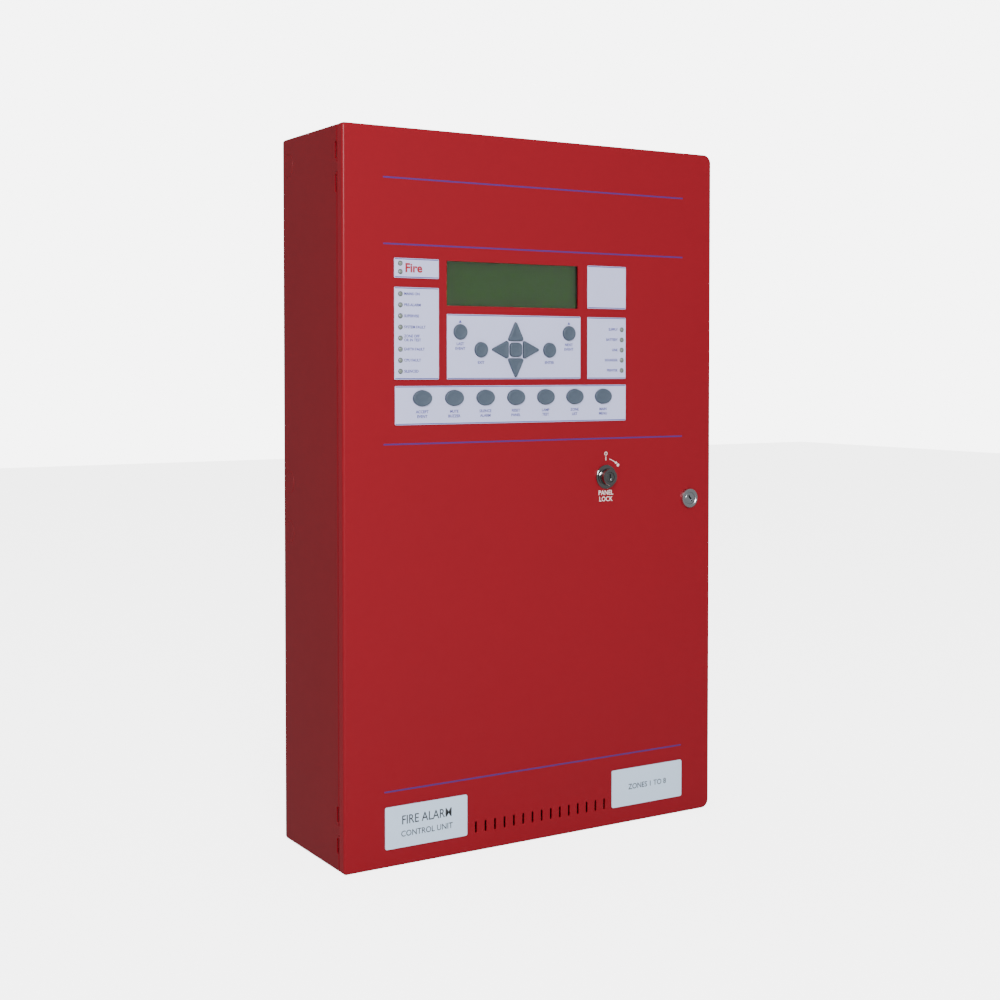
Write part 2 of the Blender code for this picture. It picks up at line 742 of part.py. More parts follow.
def make_interior(steel, green, block_green, zinc, black, supply_metal):
    """What is fixed inside the cabinet."""
    outer = [(-0.195, -SHEET - AIR), (-0.195, CHASSIS_FRONT), (0.195, CHASSIS_FRONT), (0.195, -SHEET - AIR)]
    inner = [(0.195 - SHEET, -SHEET - AIR), (0.195 - SHEET, CHASSIS_FRONT + SHEET)]
    inner += [(-0.195 + SHEET, CHASSIS_FRONT + SHEET), (-0.195 + SHEET, -SHEET - AIR)]
    loft_object("chassis_plate", [[standing(outer + inner, z) for z in (-0.150, 0.305)]], steel)
    board_back = CHASSIS_FRONT - 0.010
    board_front = board_back - BOARD_THICK
    box("main_board", (-0.185, board_front, 0.0), (0.055, board_back, 0.285), green)
    strip_low = (-0.180, board_front - AIR - 0.014, 0.262)
    strip = box("field_terminals", strip_low, (0.050, board_front - AIR, 0.280), block_green)
    entries = [
        box_rings((x - 0.0035, board_front - 0.0115, 0.276), (x + 0.0035, board_front - 0.0045, 0.282))
        for x in [-0.170 + i * 0.0191 for i in range(12)]
    ]
    boolean(strip, loft_object("terminal_entries", entries), "DIFFERENCE")
    card_back = board_front - 0.014
    box("loop_card", (-0.130, card_back - BOARD_THICK, 0.045), (-0.045, card_back, 0.165), green)
    supply = box("power_supply", (0.070, -0.062, 0.020), (0.188, CHASSIS_FRONT - AIR, 0.215), supply_metal)
    vents = [
        box_rings((0.085, -0.063, z), (0.173, -0.0605, z + 0.002))
        for z in [0.120 + i * 0.010 for i in range(8)]
    ]
    boolean(supply, loft_object("supply_vents", vents), "DIFFERENCE")
    block = box("mains_terminal_block", (0.095, -0.044, 0.244), (0.155, CHASSIS_FRONT - AIR, 0.272), black)
    wells = [
        box_rings((x - 0.006, -0.045, 0.250), (x + 0.006, -0.038, 0.266)) for x in (0.107, 0.125, 0.143)
    ]
    boolean(block, loft_object("block_wells", wells), "DIFFERENCE")
    stud_rings = [(0.007, CHASSIS_FRONT - AIR)]
    stud_rings += [(0.007, CHASSIS_FRONT - 0.005), (0.003, CHASSIS_FRONT - 0.005)]
    stud_rings.append((0.003, CHASSIS_FRONT - 0.014))
    turned("earth_stud", (0.176, 0.272), stud_rings, zinc, 12)


def make_leads(red, black, green):
    """The battery leads and the earth lead that crosses the hinge."""
    tab_top = -FLOOR_INNER + AIR + BATTERY_SIZE[2] + 0.006
    tab_y = -0.0745
    start = tab_top + 0.0005
    positive = ((-0.1675, tab_y, start), (-0.167, tab_y, start + 0.012))
    positive += ((-0.150, -0.066, -0.153), (-0.10, -0.060, -0.150))
    positive += ((0.02, -0.048, -0.145), (0.075, -0.044, -0.125))
    positive += ((0.090, -0.042, -0.07), (0.092, -0.042, 0.0193))
    lead("battery_lead_positive", positive, 0.002, red)
    negative = ((0.1675, tab_y, start), (0.167, tab_y, start + 0.012))
    negative += ((0.158, -0.064, -0.148), (0.128, -0.050, -0.115))
    negative += ((0.112, -0.042, -0.06), (0.110, -0.042, 0.0193))
    lead("battery_lead_negative", negative, 0.002, black)
    link = ((-0.0175, tab_y, start), (-0.016, tab_y, start + 0.010), (0, tab_y, start + 0.016))
    link += ((0.016, tab_y, start + 0.010),)
    lead("battery_link_lead", link + ((0.0175, tab_y, start),), 0.002, black)
    earth = ((-0.160, CHASSIS_FRONT - 0.0006, -0.060), (-0.160, -0.038, -0.064))
    earth += ((-0.150, -0.066, -0.088), (-0.130, -0.095, -0.118), (-0.108, -0.112, -0.128))
    earth += ((-0.112, -0.127, -0.118), (-0.138, -0.1335, -0.100), (-0.150, -0.1365, -0.090))
    earth += ((-0.150, -0.1428, -0.088),)
    lead("door_earth_lead", earth, 0.0015, green)


def make_ribbon(paint):
    """The flat cable from the main board to the display board, with slack for the open door."""
    start_y = CHASSIS_FRONT - 0.010 - BOARD_THICK - 0.0006
    end_y = BOARD_FRONT + BOARD_THICK + 0.0006
    route = ((-0.160, start_y, 0.2), (-0.160, -0.058, 0.2), (-0.142, -0.084, 0.2))
    route += ((-0.112, -0.092, 0.2), (-0.096, -0.1015, 0.2), (-0.110, -0.111, 0.2))
    route += ((-0.138, -0.114, 0.2), (-0.150, -0.120, 0.2), (-0.150, end_y, 0.2))
    centre = smooth_route(route, 0.008)
    outline = thick_path([(point.x, point.y) for point in centre], 0.001)
    return loft_object("display_ribbon", [[standing(outline, z) for z in (0.1875, 0.2125)]], paint)


def main():
    clear_scene()
    red = material("red_enamel", (0.40, 0.017, 0.021), 0.35)
    inner_red = material("red_enamel_box", (0.33, 0.014, 0.018), 0.38)
    white = material("label_white", (0.56, 0.60, 0.66), 0.5)
    grey = material("plate_grey", (0.55, 0.60, 0.65), 0.4)
    rubber = material("key_rubber", (0.13, 0.20, 0.25), 0.6)
    lamp = material("lamp_lens", (0.28, 0.30, 0.28), 0.3)
    chrome = material("chrome", (0.75, 0.75, 0.75), 0.18, 1.0)
    zinc = material("zinc_steel", (0.62, 0.62, 0.60), 0.4, 1.0)
    board_green = material("board_green", (0.02, 0.16, 0.06), 0.45)
    lcd = material("lcd_green", (0.05, 0.10, 0.035), 0.3)
    clear = material("clear_window", (0.9, 0.95, 0.95), 0.05, 0.0, 0.3)
    black = material("black_plastic", (0.03, 0.03, 0.03), 0.5)
    grey_ribbon = material("ribbon_grey", (0.45, 0.46, 0.47), 0.6)
    lead_red = material("lead_red", (0.5, 0.02, 0.02), 0.5)
    lead_green = material("lead_green", (0.15, 0.45, 0.05), 0.5)
    block_green = material("terminal_green", (0.03, 0.30, 0.10), 0.5)
    battery_grey = material("battery_grey", (0.08, 0.085, 0.09), 0.55)

    make_back_box(inner_red)
    make_interior(zinc, board_green, block_green, zinc, black, zinc)
    make_battery("battery_left", -0.0925, battery_grey)
    make_battery("battery_right", 0.0925, battery_grey)
    make_leads(lead_red, black, lead_green)
    make_ribbon(grey_ribbon)
    make_strike(zinc)

    hinge = bpy.data.objects.new("door_hinge", None)
    hinge.location = (HINGE_X, HINGE_Y, 0)
    bpy.context.scene.collection.objects.link(hinge)
    keys = key_outlines()
    lamps = lamp_places()
    on_door = [make_door_panel(red, keys, lamps)]
    on_door += make_labels(white, grey, keys, lamps)
    on_door += make_display(board_green, lcd, clear, black)
    on_door += [make_lamps(name, places, lamp) for name, places in lamps.items()]
    on_door += [make_key(name, centre, outline, rubber) for name, (centre, outline) in keys.items()]
    on_door += make_lock(chrome, zinc)
    on_door += make_key_switch(chrome)
    on_door += [make_hinge(side, zinc, zinc)[2] for side in (1, -1)]
    hang_on(hinge, on_door)


main()
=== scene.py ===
"""The looks of a wall-mounted fire alarm control panel, built round its fixed frame of solids.

Each sub-assembly is a class that holds its sizes and builds and dresses its own pieces.
X runs right, Y towards the wall and Z up, in metres, from the centre of the face on the wall.
"""

import logging
import math
from dataclasses import dataclass
from enum import Enum
from typing import Callable, Iterable, Sequence

import bmesh
import bpy
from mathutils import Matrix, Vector


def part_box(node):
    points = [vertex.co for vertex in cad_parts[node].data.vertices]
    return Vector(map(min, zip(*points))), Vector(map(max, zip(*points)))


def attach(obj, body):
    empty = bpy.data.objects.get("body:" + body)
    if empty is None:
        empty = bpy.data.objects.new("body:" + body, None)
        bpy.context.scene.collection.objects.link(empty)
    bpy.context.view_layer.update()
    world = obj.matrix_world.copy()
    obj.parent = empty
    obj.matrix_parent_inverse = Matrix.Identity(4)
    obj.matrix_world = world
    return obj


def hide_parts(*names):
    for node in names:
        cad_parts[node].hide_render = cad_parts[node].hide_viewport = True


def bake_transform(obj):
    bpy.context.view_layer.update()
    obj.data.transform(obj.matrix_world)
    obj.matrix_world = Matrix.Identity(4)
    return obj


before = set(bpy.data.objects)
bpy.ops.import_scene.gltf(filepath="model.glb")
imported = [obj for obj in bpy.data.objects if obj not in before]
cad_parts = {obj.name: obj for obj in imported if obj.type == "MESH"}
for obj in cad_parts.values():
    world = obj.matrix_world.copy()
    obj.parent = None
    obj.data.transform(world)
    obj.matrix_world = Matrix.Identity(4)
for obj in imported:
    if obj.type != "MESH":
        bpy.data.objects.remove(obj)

LOG = logging.getLogger("panel")
Place = tuple[float, float]
Colour = tuple[float, float, float]
Node = bpy.types.ShaderNode
Tree = bpy.types.NodeTree
Socket = bpy.types.NodeSocket
Sockets = dict[str, Socket]
Piece = bpy.types.Object


class Grain(Enum):
    """The fine surface texture of a finish."""

    PEEL = "peel"
    BRUSHED = "brushed"
    MOULDED = "moulded"
    FILM = "film"
    TRACES = "traces"
    PIXELS = "pixels"


class Outline(Enum):
    """The flat shapes that keys, plates and holes are drawn from."""

    OVAL = "oval"
    ROUNDED = "rounded"
    ARROW = "arrow"


class Side(Enum):
    """Which way a face looks."""

    FRONT = (0.0, -1.0, 0.0)
    BACK = (0.0, 1.0, 0.0)
    LEFT = (-1.0, 0.0, 0.0)
    TOP = (0.0, 0.0, 1.0)


def add_node(tree: Tree, kind: str, inputs: dict[str | int, object], **settings: object) -> Node:
    """Adds a shader node with its settings and inputs.

    Args:
        tree: The nodes that it joins.
        kind: Its type, without the leading ShaderNode.
        inputs: For each input, its value or the socket that feeds it.
        **settings: The node's own properties.

    Returns:
        The node.
    """
    node = tree.nodes.new(f"ShaderNode{kind}")
    for word, value in settings.items():
        setattr(node, word, value)
    for word, value in inputs.items():
        if isinstance(value, Socket):
            tree.links.new(value, node.inputs[word])
        else:
            node.inputs[word].default_value = value
    return node


class ShaderGroups:
    """The shared effects, each a node group that is made once and placed in each material."""

    @staticmethod
    def _shared(
        name: str, inputs: dict[str, float], output: str, fill: Callable[[Tree, Sockets], Socket]
    ) -> Tree:
        """Makes a group with a vector input, number inputs and one number output, or finds it again.

        Args:
            name: The group's name.
            inputs: Each number input with its default.
            output: The name of the output.
            fill: Adds the nodes between the inputs' sockets and the socket that it returns.

        Returns:
            The group.
        """
        if name in bpy.data.node_groups:
            return bpy.data.node_groups[name]
        group = bpy.data.node_groups.new(name, "ShaderNodeTree")
        group.interface.new_socket("Vector", in_out="INPUT", socket_type="NodeSocketVector")
        for word, value in inputs.items():
            socket = group.interface.new_socket(word, in_out="INPUT", socket_type="NodeSocketFloat")
            socket.default_value = value
        group.interface.new_socket(output, in_out="OUTPUT", socket_type="NodeSocketFloat")
        start, end = group.nodes.new("NodeGroupInput"), group.nodes.new("NodeGroupOutput")
        result = fill(group, {word: start.outputs[word] for word in ("Vector", *inputs)})
        group.links.new(result, end.inputs[output])
        return group

    @classmethod
    def mottle(cls) -> Tree:
        """Broad, soft patches, as a mask from 0 to 1."""

        def fill(group: Tree, given: Sockets) -> Socket:
            """Mixes a broad and a fine noise, and stretches the mix about its middle."""
            broad = add_node(
                group, "TexNoise", {"Vector": given["Vector"], "Scale": given["Scale"], "Detail": 3.0}
            )
            finer = add_node(group, "Math", {0: given["Scale"], 1: 9.0}, operation="MULTIPLY")
            fine = {"Vector": given["Vector"], "Scale": finer.outputs[0], "Detail": 6.0, "Roughness": 0.65}
            fine = add_node(group, "TexNoise", fine)
            both = add_node(
                group, "Mix", {"Factor": 0.35, "A": broad.outputs["Fac"], "B": fine.outputs["Fac"]}
            )
            lift = add_node(group, "Math", {0: both.outputs["Result"], 1: 0.5}, operation="SUBTRACT")
            gain = add_node(group, "Math", {0: lift.outputs[0], 1: given["Contrast"]}, operation="MULTIPLY")
            return add_node(
                group, "Math", {0: gain.outputs[0], 1: 0.5}, operation="ADD", use_clamp=True
            ).outputs[0]

        return cls._shared("soft_mottle", {"Scale": 6.0, "Contrast": 0.5}, "Mask", fill)

    @classmethod
    def edge_highlight(cls) -> Tree:
        """A mask of the sharp edges, broken up by noise, where a painted highlight is laid."""

        def fill(group: Tree, given: Sockets) -> Socket:
            """Finds where a rounded normal leaves the true one, and multiplies that by a noise."""
            bevel = add_node(group, "Bevel", {"Radius": given["Radius"]}, samples=4)
            true = add_node(group, "NewGeometry", {}).outputs["Normal"]
            dot = add_node(
                group, "VectorMath", {0: bevel.outputs["Normal"], 1: true}, operation="DOT_PRODUCT"
            )
            spread = {"Value": dot.outputs["Value"], "From Min": 0.995, "From Max": 0.80}
            spread = add_node(group, "MapRange", spread)
            noise = {"Vector": given["Vector"], "Scale": given["Breakup"], "Detail": 4.0}
            noise = add_node(group, "TexNoise", noise)
            painted_highlight = {0: spread.outputs["Result"], 1: noise.outputs["Fac"]}
            return add_node(group, "Math", painted_highlight, operation="MULTIPLY").outputs[0]

        return cls._shared("edge_highlight", {"Radius": 0.0006, "Breakup": 60.0}, "Mask", fill)

    @classmethod
    def grain(cls, kind: Grain) -> Tree:
        """The height pattern of one grain, from 0 to 1."""

        def fill(group: Tree, given: Sockets) -> Socket:
            """Adds the noise, the cells or the squared pattern that the grain is made of."""
            if kind in (Grain.TRACES, Grain.PIXELS):
                return cls._bricks(group, given, kind)
            if kind is Grain.MOULDED:
                return add_node(group, "TexVoronoi", given, feature="SMOOTH_F1").outputs["Distance"]
            detail = {Grain.PEEL: 1.0, Grain.BRUSHED: 2.0, Grain.FILM: 5.0}[kind]
            if kind is Grain.BRUSHED:
                along = {0: given["Vector"], 1: (0.02, 1.0, 1.0)}
                given["Vector"] = add_node(group, "VectorMath", along, operation="MULTIPLY").outputs["Vector"]
            return add_node(group, "TexNoise", {**given, "Detail": detail}).outputs["Fac"]

        return cls._shared(f"grain_{kind.value}", {"Scale": 500.0}, "Height", fill)

    @staticmethod
    def _bricks(group: Tree, given: Sockets, kind: Grain) -> Socket:
        """Adds the squared pattern of a board's tracks or of a display's dots, drawn on X and Z.

        Args:
            group: The group to fill.
            given: The sockets of its inputs.
            kind: Grain.TRACES or Grain.PIXELS.

        Returns:
            The pattern's socket.
        """
        tracks = kind is Grain.TRACES
        parts = add_node(group, "SeparateXYZ", {0: given["Vector"]})
        flat = add_node(group, "CombineXYZ", {"X": parts.outputs["X"], "Y": parts.outputs["Z"]})
        inputs = {
            "Vector": flat.outputs[0],
            "Scale": given["Scale"],
            "Color1": (0, 0, 0, 1),
            "Color2": (0.25, 0.25, 0.25, 1) if tracks else (0, 0, 0, 1),
            "Mortar": (1, 1, 1, 1),
            "Mortar Size": 0.035 if tracks else 0.05,
            "Brick Width": 2.6 if tracks else 0.5,
            "Row Height": 0.35 if tracks else 0.5,
        }
        layout = {"offset": 0.37, "squash": 1.6, "squash_frequency": 3} if tracks else {"offset": 0.0}
        return add_node(group, "TexBrick", inputs, **layout).outputs["Color"]


@dataclass(frozen=True)
class Finish:
    """One finish: its colours, gloss, grain and painted edge highlight, as a procedural material."""

    name: str
    colour: Colour
    shade: Colour
    roughness: float = 0.4
    spread: float = 0.06
    metallic: float = 0.0
    specular: float = 0.5
    coat: float = 0.0
    transmission: float = 0.0
    grain: Grain = Grain.PEEL
    grain_scale: float = 500.0
    bump: float = 0.05
    bump_depth: float = 0.0002
    mottle_scale: float = 6.0
    mottle_contrast: float = 1.2
    # The lighter colour laid on the sharp edges: a painted highlight.
    painted_highlight: Colour | None = None
    highlight_radius: float = 0.0006
    tint: Colour | None = None

    def material(self) -> bpy.types.Material:
        """Builds the material the first time, and hands back the same one after that.

        Returns:
            The material.
        """
        if self.name in bpy.data.materials:
            return bpy.data.materials[self.name]
        made = bpy.data.materials.new(self.name)
        made.use_nodes = True
        tree = made.node_tree
        shader = tree.nodes["Principled BSDF"]
        coords = add_node(tree, "TexCoord", {}).outputs["Object"]
        for word, value in self._even().items():
            shader.inputs[word].default_value = value
        mask = self._placed(
            tree, ShaderGroups.mottle(), coords, Scale=self.mottle_scale, Contrast=self.mottle_contrast
        )
        colour = self._mix(tree, mask, self.colour, self.shade)
        height = self._placed(tree, ShaderGroups.grain(self.grain), coords, Scale=self.grain_scale)
        if self.tint:
            colour = self._mix(tree, height, colour, self.tint)
        # Lightens the sharp edges by the mask: a painted highlight.
        if self.painted_highlight:
            edges = self._placed(tree, ShaderGroups.edge_highlight(), coords, Radius=self.highlight_radius)
            colour = self._mix(tree, edges, colour, self.painted_highlight)
        tree.links.new(colour, shader.inputs["Base Color"])
        low, high = max(self.roughness - self.spread, 0.02), self.roughness + self.spread
        gloss = add_node(tree, "MapRange", {"Value": mask, "To Min": low, "To Max": high})
        tree.links.new(gloss.outputs["Result"], shader.inputs["Roughness"])
        bump = add_node(tree, "Bump", {"Strength": self.bump, "Distance": self.bump_depth, "Height": height})
        tree.links.new(bump.outputs["Normal"], shader.inputs["Normal"])
        return made

    def _even(self) -> dict[str, float]:
        """What is the same all over the surface, for the shader's own sockets."""
        return {
            "Metallic": self.metallic,
            "Specular IOR Level": self.specular,
            "Coat Weight": self.coat,
            "Coat Roughness": 0.08,
            "Transmission Weight": self.transmission,
        }

    @staticmethod
    def _placed(tree: Tree, group: Tree, coords: Socket, **values: float) -> Socket:
        """Places a shared group in this material with its own values.

        Args:
            tree: The material's nodes.
            group: The shared group.
            coords: What drives its Vector.
            **values: Its number inputs.

        Returns:
            The group's output.
        """
        return add_node(tree, "Group", {"Vector": coords, **values}, node_tree=group).outputs[0]

    @staticmethod
    def _mix(tree: Tree, factor: Socket, first: Colour | Socket, second: Colour) -> Socket:
        """Mixes two colours by a mask.

        Args:
            tree: The material's nodes.
            factor: The mask.
            first: A colour, or the socket of one.
            second: The colour where the mask is 1.

        Returns:
            The mixed colour's socket.
        """
        if not isinstance(first, Socket):
            first = (*first, 1.0)
        inputs = {"Factor": factor, "A": first, "B": (*second, 1.0)}
        return add_node(tree, "Mix", inputs, data_type="RGBA").outputs["Result"]


@dataclass(frozen=True)
class Ink(Finish):
    """A printed ink."""

    roughness: float = 0.5
    spread: float = 0.05
    grain: Grain = Grain.FILM
    grain_scale: float = 2600.0
    bump: float = 0.04
    mottle_scale: float = 90.0


@dataclass(frozen=True)
class Moulded(Finish):
    """A moulded plastic."""

    grain: Grain = Grain.MOULDED
    grain_scale: float = 2400.0
    bump: float = 0.10
    mottle_scale: float = 50.0


@dataclass(frozen=True)
class Sleeve(Finish):
    """A lead's extruded sleeve."""

    roughness: float = 0.42
    grain: Grain = Grain.FILM
    grain_scale: float = 1400.0
    mottle_scale: float = 40.0


# The door's lighter red edges are a painted highlight.
ENAMEL = Finish(
    "red_enamel_door", (0.222, 0.0034, 0.0106), (0.204, 0.0030, 0.0096), 0.34, 0.05, specular=0.28,
    grain_scale=900.0, bump=0.10, bump_depth=0.0001, painted_highlight=(0.33, 0.012, 0.014), highlight_radius=0.0009,
)
# The case is given a darker red than the door, though both are one enamel: painted shade for its sides turned
# from the light. Its lighter edges are a painted highlight.
ENAMEL_CASE_SHADED = Finish(
    "red_enamel_case_painted_shade", (0.180, 0.0030, 0.0086), (0.164, 0.0026, 0.0078), 0.36, 0.06, specular=0.28,
    grain_scale=900.0, bump=0.12, bump_depth=0.0001, painted_highlight=(0.27, 0.012, 0.015), highlight_radius=0.0009,
)
LABEL_FILM = Finish(
    "label_film", (0.515, 0.540, 0.795), (0.485, 0.510, 0.745), 0.42, 0.05, grain=Grain.FILM,
    grain_scale=2600.0, bump=0.08, bump_depth=0.0001, mottle_scale=14.0,
)
PLATE = Finish(
    "plate_satin", (0.56, 0.715, 0.90), (0.525, 0.67, 0.84), 0.36, 0.05, grain=Grain.BRUSHED,
    grain_scale=2200.0, bump=0.06, bump_depth=0.0001, mottle_scale=10.0,
)
KEY_RUBBER = Finish(
    "key_rubber_grey", (0.066, 0.089, 0.124), (0.057, 0.078, 0.109), 0.52, 0.08, specular=0.4,
    grain=Grain.MOULDED, grain_scale=3800.0, bump=0.10, bump_depth=0.0001, mottle_scale=60.0,
)
LENS = Finish(
    "lamp_lens_grey", (0.20, 0.235, 0.200), (0.13, 0.160, 0.130), 0.22, 0.05, grain=Grain.FILM, coat=0.5,
    grain_scale=1800.0, bump=0.03, mottle_scale=400.0,
)
# The collars' dark colour is painted shade for the shadowed gap round each lens.
LAMP_GAP_SHADE = Finish(
    "lamp_gap_painted_shade", (0.045, 0.055, 0.055), (0.025, 0.03, 0.03), 0.5, 0.08, grain=Grain.MOULDED,
    grain_scale=3000.0, mottle_scale=200.0,
)
STRIPE_INK = Ink(
    "stripe_ink", (0.064, 0.017, 0.165), (0.054, 0.014, 0.140), 0.42, grain_scale=2200.0, bump=0.05,
    mottle_scale=30.0,
)
LEGEND_INK = Ink("legend_ink", (0.060, 0.056, 0.310), (0.050, 0.047, 0.260), grain_scale=3000.0)
EDGE_INK = Ink(
    "edge_ink", (0.052, 0.034, 0.300), (0.042, 0.027, 0.250), grain_scale=3000.0, mottle_scale=60.0
)
FIRE_INK = Ink("fire_ink", (0.340, 0.010, 0.018), (0.300, 0.008, 0.015), 0.45)
GREY_INK = Ink("grey_ink", (0.050, 0.054, 0.062), (0.040, 0.043, 0.050))
WHITE_INK = Ink("white_ink", (0.86, 0.80, 0.78), (0.74, 0.66, 0.64), mottle_scale=120.0)
# Its pale edges are a painted highlight.
DARK_CHROME = Finish(
    "dark_chrome", (0.36, 0.37, 0.37), (0.27, 0.28, 0.28), 0.12, 0.04, metallic=1.0, grain=Grain.BRUSHED,
    grain_scale=1500.0, bump=0.03, mottle_scale=120.0, painted_highlight=(0.75, 0.75, 0.75), highlight_radius=0.0004,
)
BRIGHT_NICKEL = Finish(
    "bright_nickel", (0.74, 0.78, 0.82), (0.62, 0.66, 0.70), 0.26, 0.07, metallic=1.0, grain=Grain.BRUSHED,
    grain_scale=1800.0, bump=0.05, mottle_scale=90.0,
)
ZINC = Finish(
    "zinc_plated", (0.60, 0.60, 0.57), (0.47, 0.48, 0.45), 0.38, 0.10, metallic=1.0, grain=Grain.BRUSHED,
    grain_scale=900.0, bump=0.06, mottle_scale=35.0, mottle_contrast=1.8,
)
CASE_METAL = Finish(
    "case_metal", (0.66, 0.67, 0.68), (0.55, 0.56, 0.57), 0.42, 0.08, metallic=1.0, grain=Grain.BRUSHED,
    grain_scale=1200.0, bump=0.08, mottle_scale=16.0, mottle_contrast=1.6,
)
BOARD_GREEN = Finish(
    "board_mask", (0.012, 0.105, 0.038), (0.009, 0.082, 0.030), 0.36, 0.05, coat=0.3, grain=Grain.TRACES,
    grain_scale=110.0, bump=0.15, bump_depth=0.00005, mottle_scale=25.0, tint=(0.030, 0.215, 0.080),
)
DISPLAY_GLASS = Finish(
    "display_glass", (0.020, 0.070, 0.008), (0.017, 0.060, 0.007), 0.30, 0.04, specular=0.1,
    grain=Grain.PIXELS,
    grain_scale=990.0, bump=0.02, bump_depth=0.00003, mottle_scale=9.0, tint=(0.025, 0.081, 0.011),
)
FRAME_DARK = Finish(
    "display_frame", (0.016, 0.022, 0.015), (0.010, 0.015, 0.010), 0.45, 0.08, grain=Grain.MOULDED,
    grain_scale=2500.0, mottle_scale=60.0,
)
WINDOW = Finish(
    "window_clear", (0.96, 0.98, 0.96), (0.93, 0.96, 0.93), 0.03, 0.01, specular=0.0, transmission=1.0,
    grain=Grain.FILM, grain_scale=300.0, bump=0.01, mottle_scale=8.0,
)
BLACK_PLASTIC = Moulded(
    "black_plastic_moulded", (0.022, 0.022, 0.024), (0.014, 0.014, 0.016), 0.46, 0.08, bump=0.12
)
CREAM_PLASTIC = Moulded("cream_plastic", (0.62, 0.60, 0.52), (0.54, 0.52, 0.45), 0.42)
BLOCK_GREEN = Moulded("terminal_block_green", (0.018, 0.240, 0.085), (0.013, 0.190, 0.065), 0.42)
BATTERY_CASE = Finish(
    "battery_case_grey", (0.060, 0.064, 0.070), (0.045, 0.048, 0.053), 0.52, 0.08, grain=Grain.MOULDED,
    grain_scale=1500.0, bump=0.18, mottle_scale=18.0,
)
LEAD_RED = Sleeve("lead_red_sleeve", (0.50, 0.018, 0.018), (0.40, 0.014, 0.014))
LEAD_BLACK = Sleeve("lead_black_sleeve", (0.016, 0.016, 0.018), (0.010, 0.010, 0.012))
LEAD_GREEN = Sleeve(
    "lead_green_sleeve", (0.09, 0.36, 0.03), (0.30, 0.36, 0.02), mottle_scale=26.0, mottle_contrast=6.0
)
RIBBON_GREY = Finish(
    "ribbon_grey_pvc", (0.36, 0.37, 0.38), (0.29, 0.30, 0.31), 0.48, 0.06, grain=Grain.BRUSHED,
    grain_scale=800.0, bump=0.3, bump_depth=0.0003, mottle_scale=40.0,
)


@dataclass(frozen=True)
class Shape:
    """A flat outline on the door's plane: its family, middle, half size, corners and turns.

    An arrow's half size is half its base and half its length, before it is turned.
    """

    kind: Outline
    centre: Place
    half: Place
    corner: float = 0.001
    turns: int = 0
    sides: int = 40

    def pivot(self) -> Place:
        """The point that the outline grows from: its middle, or an arrow's inner circle's middle."""
        if self.kind is not Outline.ARROW:
            return self.centre
        reach = Vector((0.0, self._inner() - self.half[1]))
        for _ in range(self.turns):
            reach = Vector((-reach.y, reach.x))
        return (self.centre[0] + reach.x, self.centre[1] + reach.y)

    def _inner(self) -> float:
        """The radius of the circle inside an arrow."""
        slant = math.hypot(self.half[0], 2 * self.half[1])
        return self.half[0] * 2 * self.half[1] / (self.half[0] + slant)

    def scale(self, grow: float) -> Place:
        """How much wider and taller the outline is after its sides move out by some distance."""
        if self.kind is Outline.ARROW:
            ratio = (self._inner() + grow) / self._inner()
            return (ratio, ratio)
        return ((self.half[0] + grow) / self.half[0], (self.half[1] + grow) / self.half[1])

    def laid(self, name: str, depth: float) -> Piece:
        """The outline as one face, in edit mode with the face selected.

        Args:
            name: The piece's name.
            depth: Where it lies, front to back.

        Returns:
            The flat piece.
        """
        Bench.put_down()
        place = (self.centre[0], depth, self.centre[1])
        upright = (math.pi / 2, -math.pi / 2 * self.turns, 0)
        size = self.half
        if self.kind is Outline.ROUNDED:
            bpy.ops.mesh.primitive_plane_add(size=2, location=place, rotation=upright)
        else:
            count = self.sides if self.kind is Outline.OVAL else 3
            bpy.ops.mesh.primitive_circle_add(
                vertices=count, radius=1, fill_type="NGON", location=place, rotation=upright
            )
        piece = Bench.fix_place(name)
        if self.kind is Outline.ARROW:
            size = (self.half[0] / math.cos(math.pi / 6), self.half[1] / 0.75)
            self._centre_arrow(piece, place)
        if self.turns % 2:
            size = (size[1], size[0])
        bpy.ops.object.mode_set(mode="EDIT")
        bpy.ops.mesh.select_mode(type="VERT")
        bpy.ops.mesh.select_all(action="SELECT")
        bpy.ops.transform.resize(value=(size[0], 1, size[1]), center_override=place)
        if self.kind is not Outline.OVAL:
            Bench.bevel(self.corner, 5, corners=True)
            bpy.ops.mesh.select_all(action="SELECT")
        return piece

    @staticmethod
    def _centre_arrow(piece: Piece, place: Sequence[float]) -> None:
        """Moves a triangle so that the middle of its box is at its place."""
        spots = [vertex.co for vertex in piece.data.vertices]
        middle_x = (min(spot.x for spot in spots) + max(spot.x for spot in spots)) / 2
        middle_z = (min(spot.z for spot in spots) + max(spot.z for spot in spots)) / 2
        bpy.ops.object.mode_set(mode="EDIT")
        bpy.ops.mesh.select_all(action="SELECT")
        bpy.ops.transform.translate(value=(place[0] - middle_x, 0, place[2] - middle_z))
        bpy.ops.object.mode_set(mode="OBJECT")


